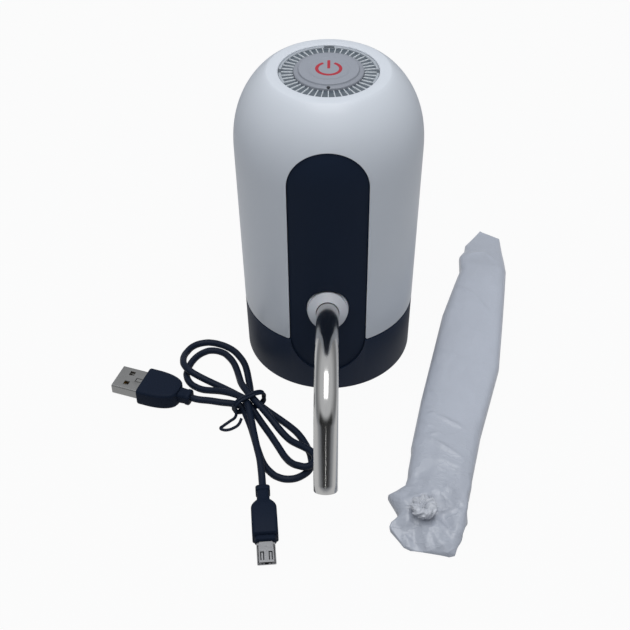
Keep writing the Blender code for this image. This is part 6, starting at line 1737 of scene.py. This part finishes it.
class PUMP_OT_stage(bpy.types.Operator):
    """Sets the pale floor, the soft lamps and the camera"""

    bl_idname = "pump.stage"
    bl_label = "Stage"

    def execute(self, context):
        stage = values("stage")
        context.scene.view_settings.view_transform = "Standard"
        self.camera(context, stage)
        self.floor(stage)
        self.sky(context, stage)
        self.lamp("key_lamp", (0.0, -0.10, 1.1), 0.65, 0.85, stage.key)
        self.lamp("fill_lamp", (0.0, -0.55, 0.95), 0.9, 0.7, stage.fill).visible_glossy = False
        self.lamp("glint_lamp", (0.0, -1.3, 0.12), 0.03, 0.10, stage.glint)
        return {"FINISHED"}

    def camera(self, context, stage):
        """The photograph's camera, by the directions of its right, its top and its view."""
        camera = added("photograph_camera", bpy.ops.object.camera_add)
        right = Vector((0.99982, 0.01762, -0.00669))
        top = Vector((-0.00665, 0.66204, 0.74944))
        back = Vector((0.01763, -0.74926, 0.66204))
        axes = Matrix((right, top, back)).transposed().to_4x4()
        camera.matrix_world = Matrix.Translation(stage.camera_place) @ axes
        camera.data.sensor_width = 36
        camera.data.lens = stage.lens
        context.scene.camera = camera

    def floor(self, stage):
        under = (0, 0, -HAIR)
        floor = added("floor", bpy.ops.mesh.primitive_plane_add, size=stage.floor_side, location=under)
        placed(floor, floor.matrix_world.copy())
        pale = Finish("pale_floor", stage.floor, 0.75, specular_ior_level=0.2)
        pale.mottle(3.0, 0.01)
        away = (pale.axis("X") ** 2 + (pale.axis("Y") + 0.05) ** 2) ** 0.5
        mirrored = stage.mirror_glow * (1 - away.between(0.12, 0.32))
        seen = self.seen(pale, stage.floor_glow, mirrored)
        glow = pale.node("ShaderNodeEmission", {"Color": (1, 1, 1, 1), "Strength": 1.0})
        blend = pale.node("ShaderNodeMixShader", {0: seen, 1: pale.shader.outputs[0], 2: glow.outputs[0]})
        pale.fill(pale.tree.nodes["Material Output"], {"Surface": blend.outputs[0]})
        floor.data.materials.append(pale.material)

    def seen(self, finish, straight, mirrored):
        """How far the floor turns white: straight on or through glass, in a mirror, and not otherwise."""
        rays = finish.node("ShaderNodeLightPath")
        through = Value(finish, rays.outputs["Is Camera Ray"])
        through = through.maths("MAXIMUM", through, Value(finish, rays.outputs["Is Transmission Ray"]))
        return through * straight + Value(finish, rays.outputs["Is Glossy Ray"]) * mirrored

    def sky(self, context, stage):
        """Soft light from all round, stronger from above and weakest low down in front."""
        world = bpy.data.worlds.new("soft_sky")
        context.scene.world = world
        world.use_nodes = True
        tree = world.node_tree
        tree.nodes.clear()

        def node(kind, **sockets):
            made = tree.nodes.new(kind)
            for key, value in sockets.items():
                socket = made.inputs[key.replace("_", " ")]
                if isinstance(value, bpy.types.NodeSocket):
                    tree.links.new(value, socket)
                else:
                    socket.default_value = value
            return made

        def ramp(value, start, end, low, high):
            """Low where a value is at its start, high at its end, and even steps between them."""
            return node(
                "ShaderNodeMapRange", Value=value, From_Min=start, From_Max=end, To_Min=low, To_Max=high,
            ).outputs[0]

        way = node("ShaderNodeSeparateXYZ", Vector=node("ShaderNodeTexCoord").outputs["Generated"])
        around = ramp(way.outputs["Z"], 0.15, 0.65, stage.low_sky, stage.high_sky)
        ahead = ramp(way.outputs["Z"], 0.30, 0.50, stage.front_sky, stage.high_sky)
        front = ramp(way.outputs["Y"], -0.35, -0.60, 0.0, 1.0)
        level = node("ShaderNodeMix", Factor=front, A=around, B=ahead)
        soft = node("ShaderNodeBackground", Color=(0.95, 0.97, 1.0, 1.0), Strength=level.outputs[0])
        node("ShaderNodeOutputWorld", Surface=soft.outputs[0])

    def lamp(self, name, where, wide, tall, power):
        """A soft rectangular lamp that faces the pump."""
        lamp = added(name, bpy.ops.object.light_add, type="AREA", location=where)
        lamp.rotation_euler = (Vector((0, -0.02, 0.05)) - Vector(where)).to_track_quat("-Z", "Y").to_euler()
        lamp.data.shape = "RECTANGLE"
        lamp.data.size = wide
        lamp.data.size_y = tall
        lamp.data.energy = power
        return lamp


BUILD_STEPS = (
    PUMP_OT_stage, PUMP_OT_finishes, PUMP_OT_large_plug, PUMP_OT_small_plug, PUMP_OT_lead, PUMP_OT_hose,
    PUMP_OT_bag, PUMP_OT_shell, PUMP_OT_panel, PUMP_OT_base, PUMP_OT_underside, PUMP_OT_collar,
    PUMP_OT_spout, PUMP_OT_light_ring, PUMP_OT_button, PUMP_OT_works,
)


class PUMP_PT_pieces(bpy.types.Panel):
    """Lists the pieces with the button that builds each, then their sizes and colours"""

    bl_idname = "PUMP_PT_pieces"
    bl_label = "Bottled water pump"
    bl_space_type = "VIEW_3D"
    bl_region_type = "UI"
    bl_category = "Water pump"

    def draw(self, context):
        column = self.layout.column(align=True)
        for step in BUILD_STEPS:
            column.operator(step.bl_idname)
        for name, group in GROUPS.items():
            box = self.layout.box()
            box.label(text=name.replace("_", " ").capitalize())
            for setting in group.__annotations__:
                box.prop(getattr(context.scene, name), setting)


def register():
    for group in GROUPS.values():
        bpy.utils.register_class(group)
    for name, group in GROUPS.items():
        setattr(bpy.types.Scene, name, bpy.props.PointerProperty(type=group))
    for step in BUILD_STEPS:
        bpy.utils.register_class(step)
    bpy.utils.register_class(PUMP_PT_pieces)


def unregister():
    bpy.utils.unregister_class(PUMP_PT_pieces)
    for step in reversed(BUILD_STEPS):
        bpy.utils.unregister_class(step)
    for name in GROUPS:
        delattr(bpy.types.Scene, name)
    for group in reversed(list(GROUPS.values())):
        bpy.utils.unregister_class(group)


def main():
    register()
    for step in BUILD_STEPS:
        family, name = step.bl_idname.split(".")
        getattr(getattr(bpy.ops, family), name)()


if __name__ == "__main__":
    main()
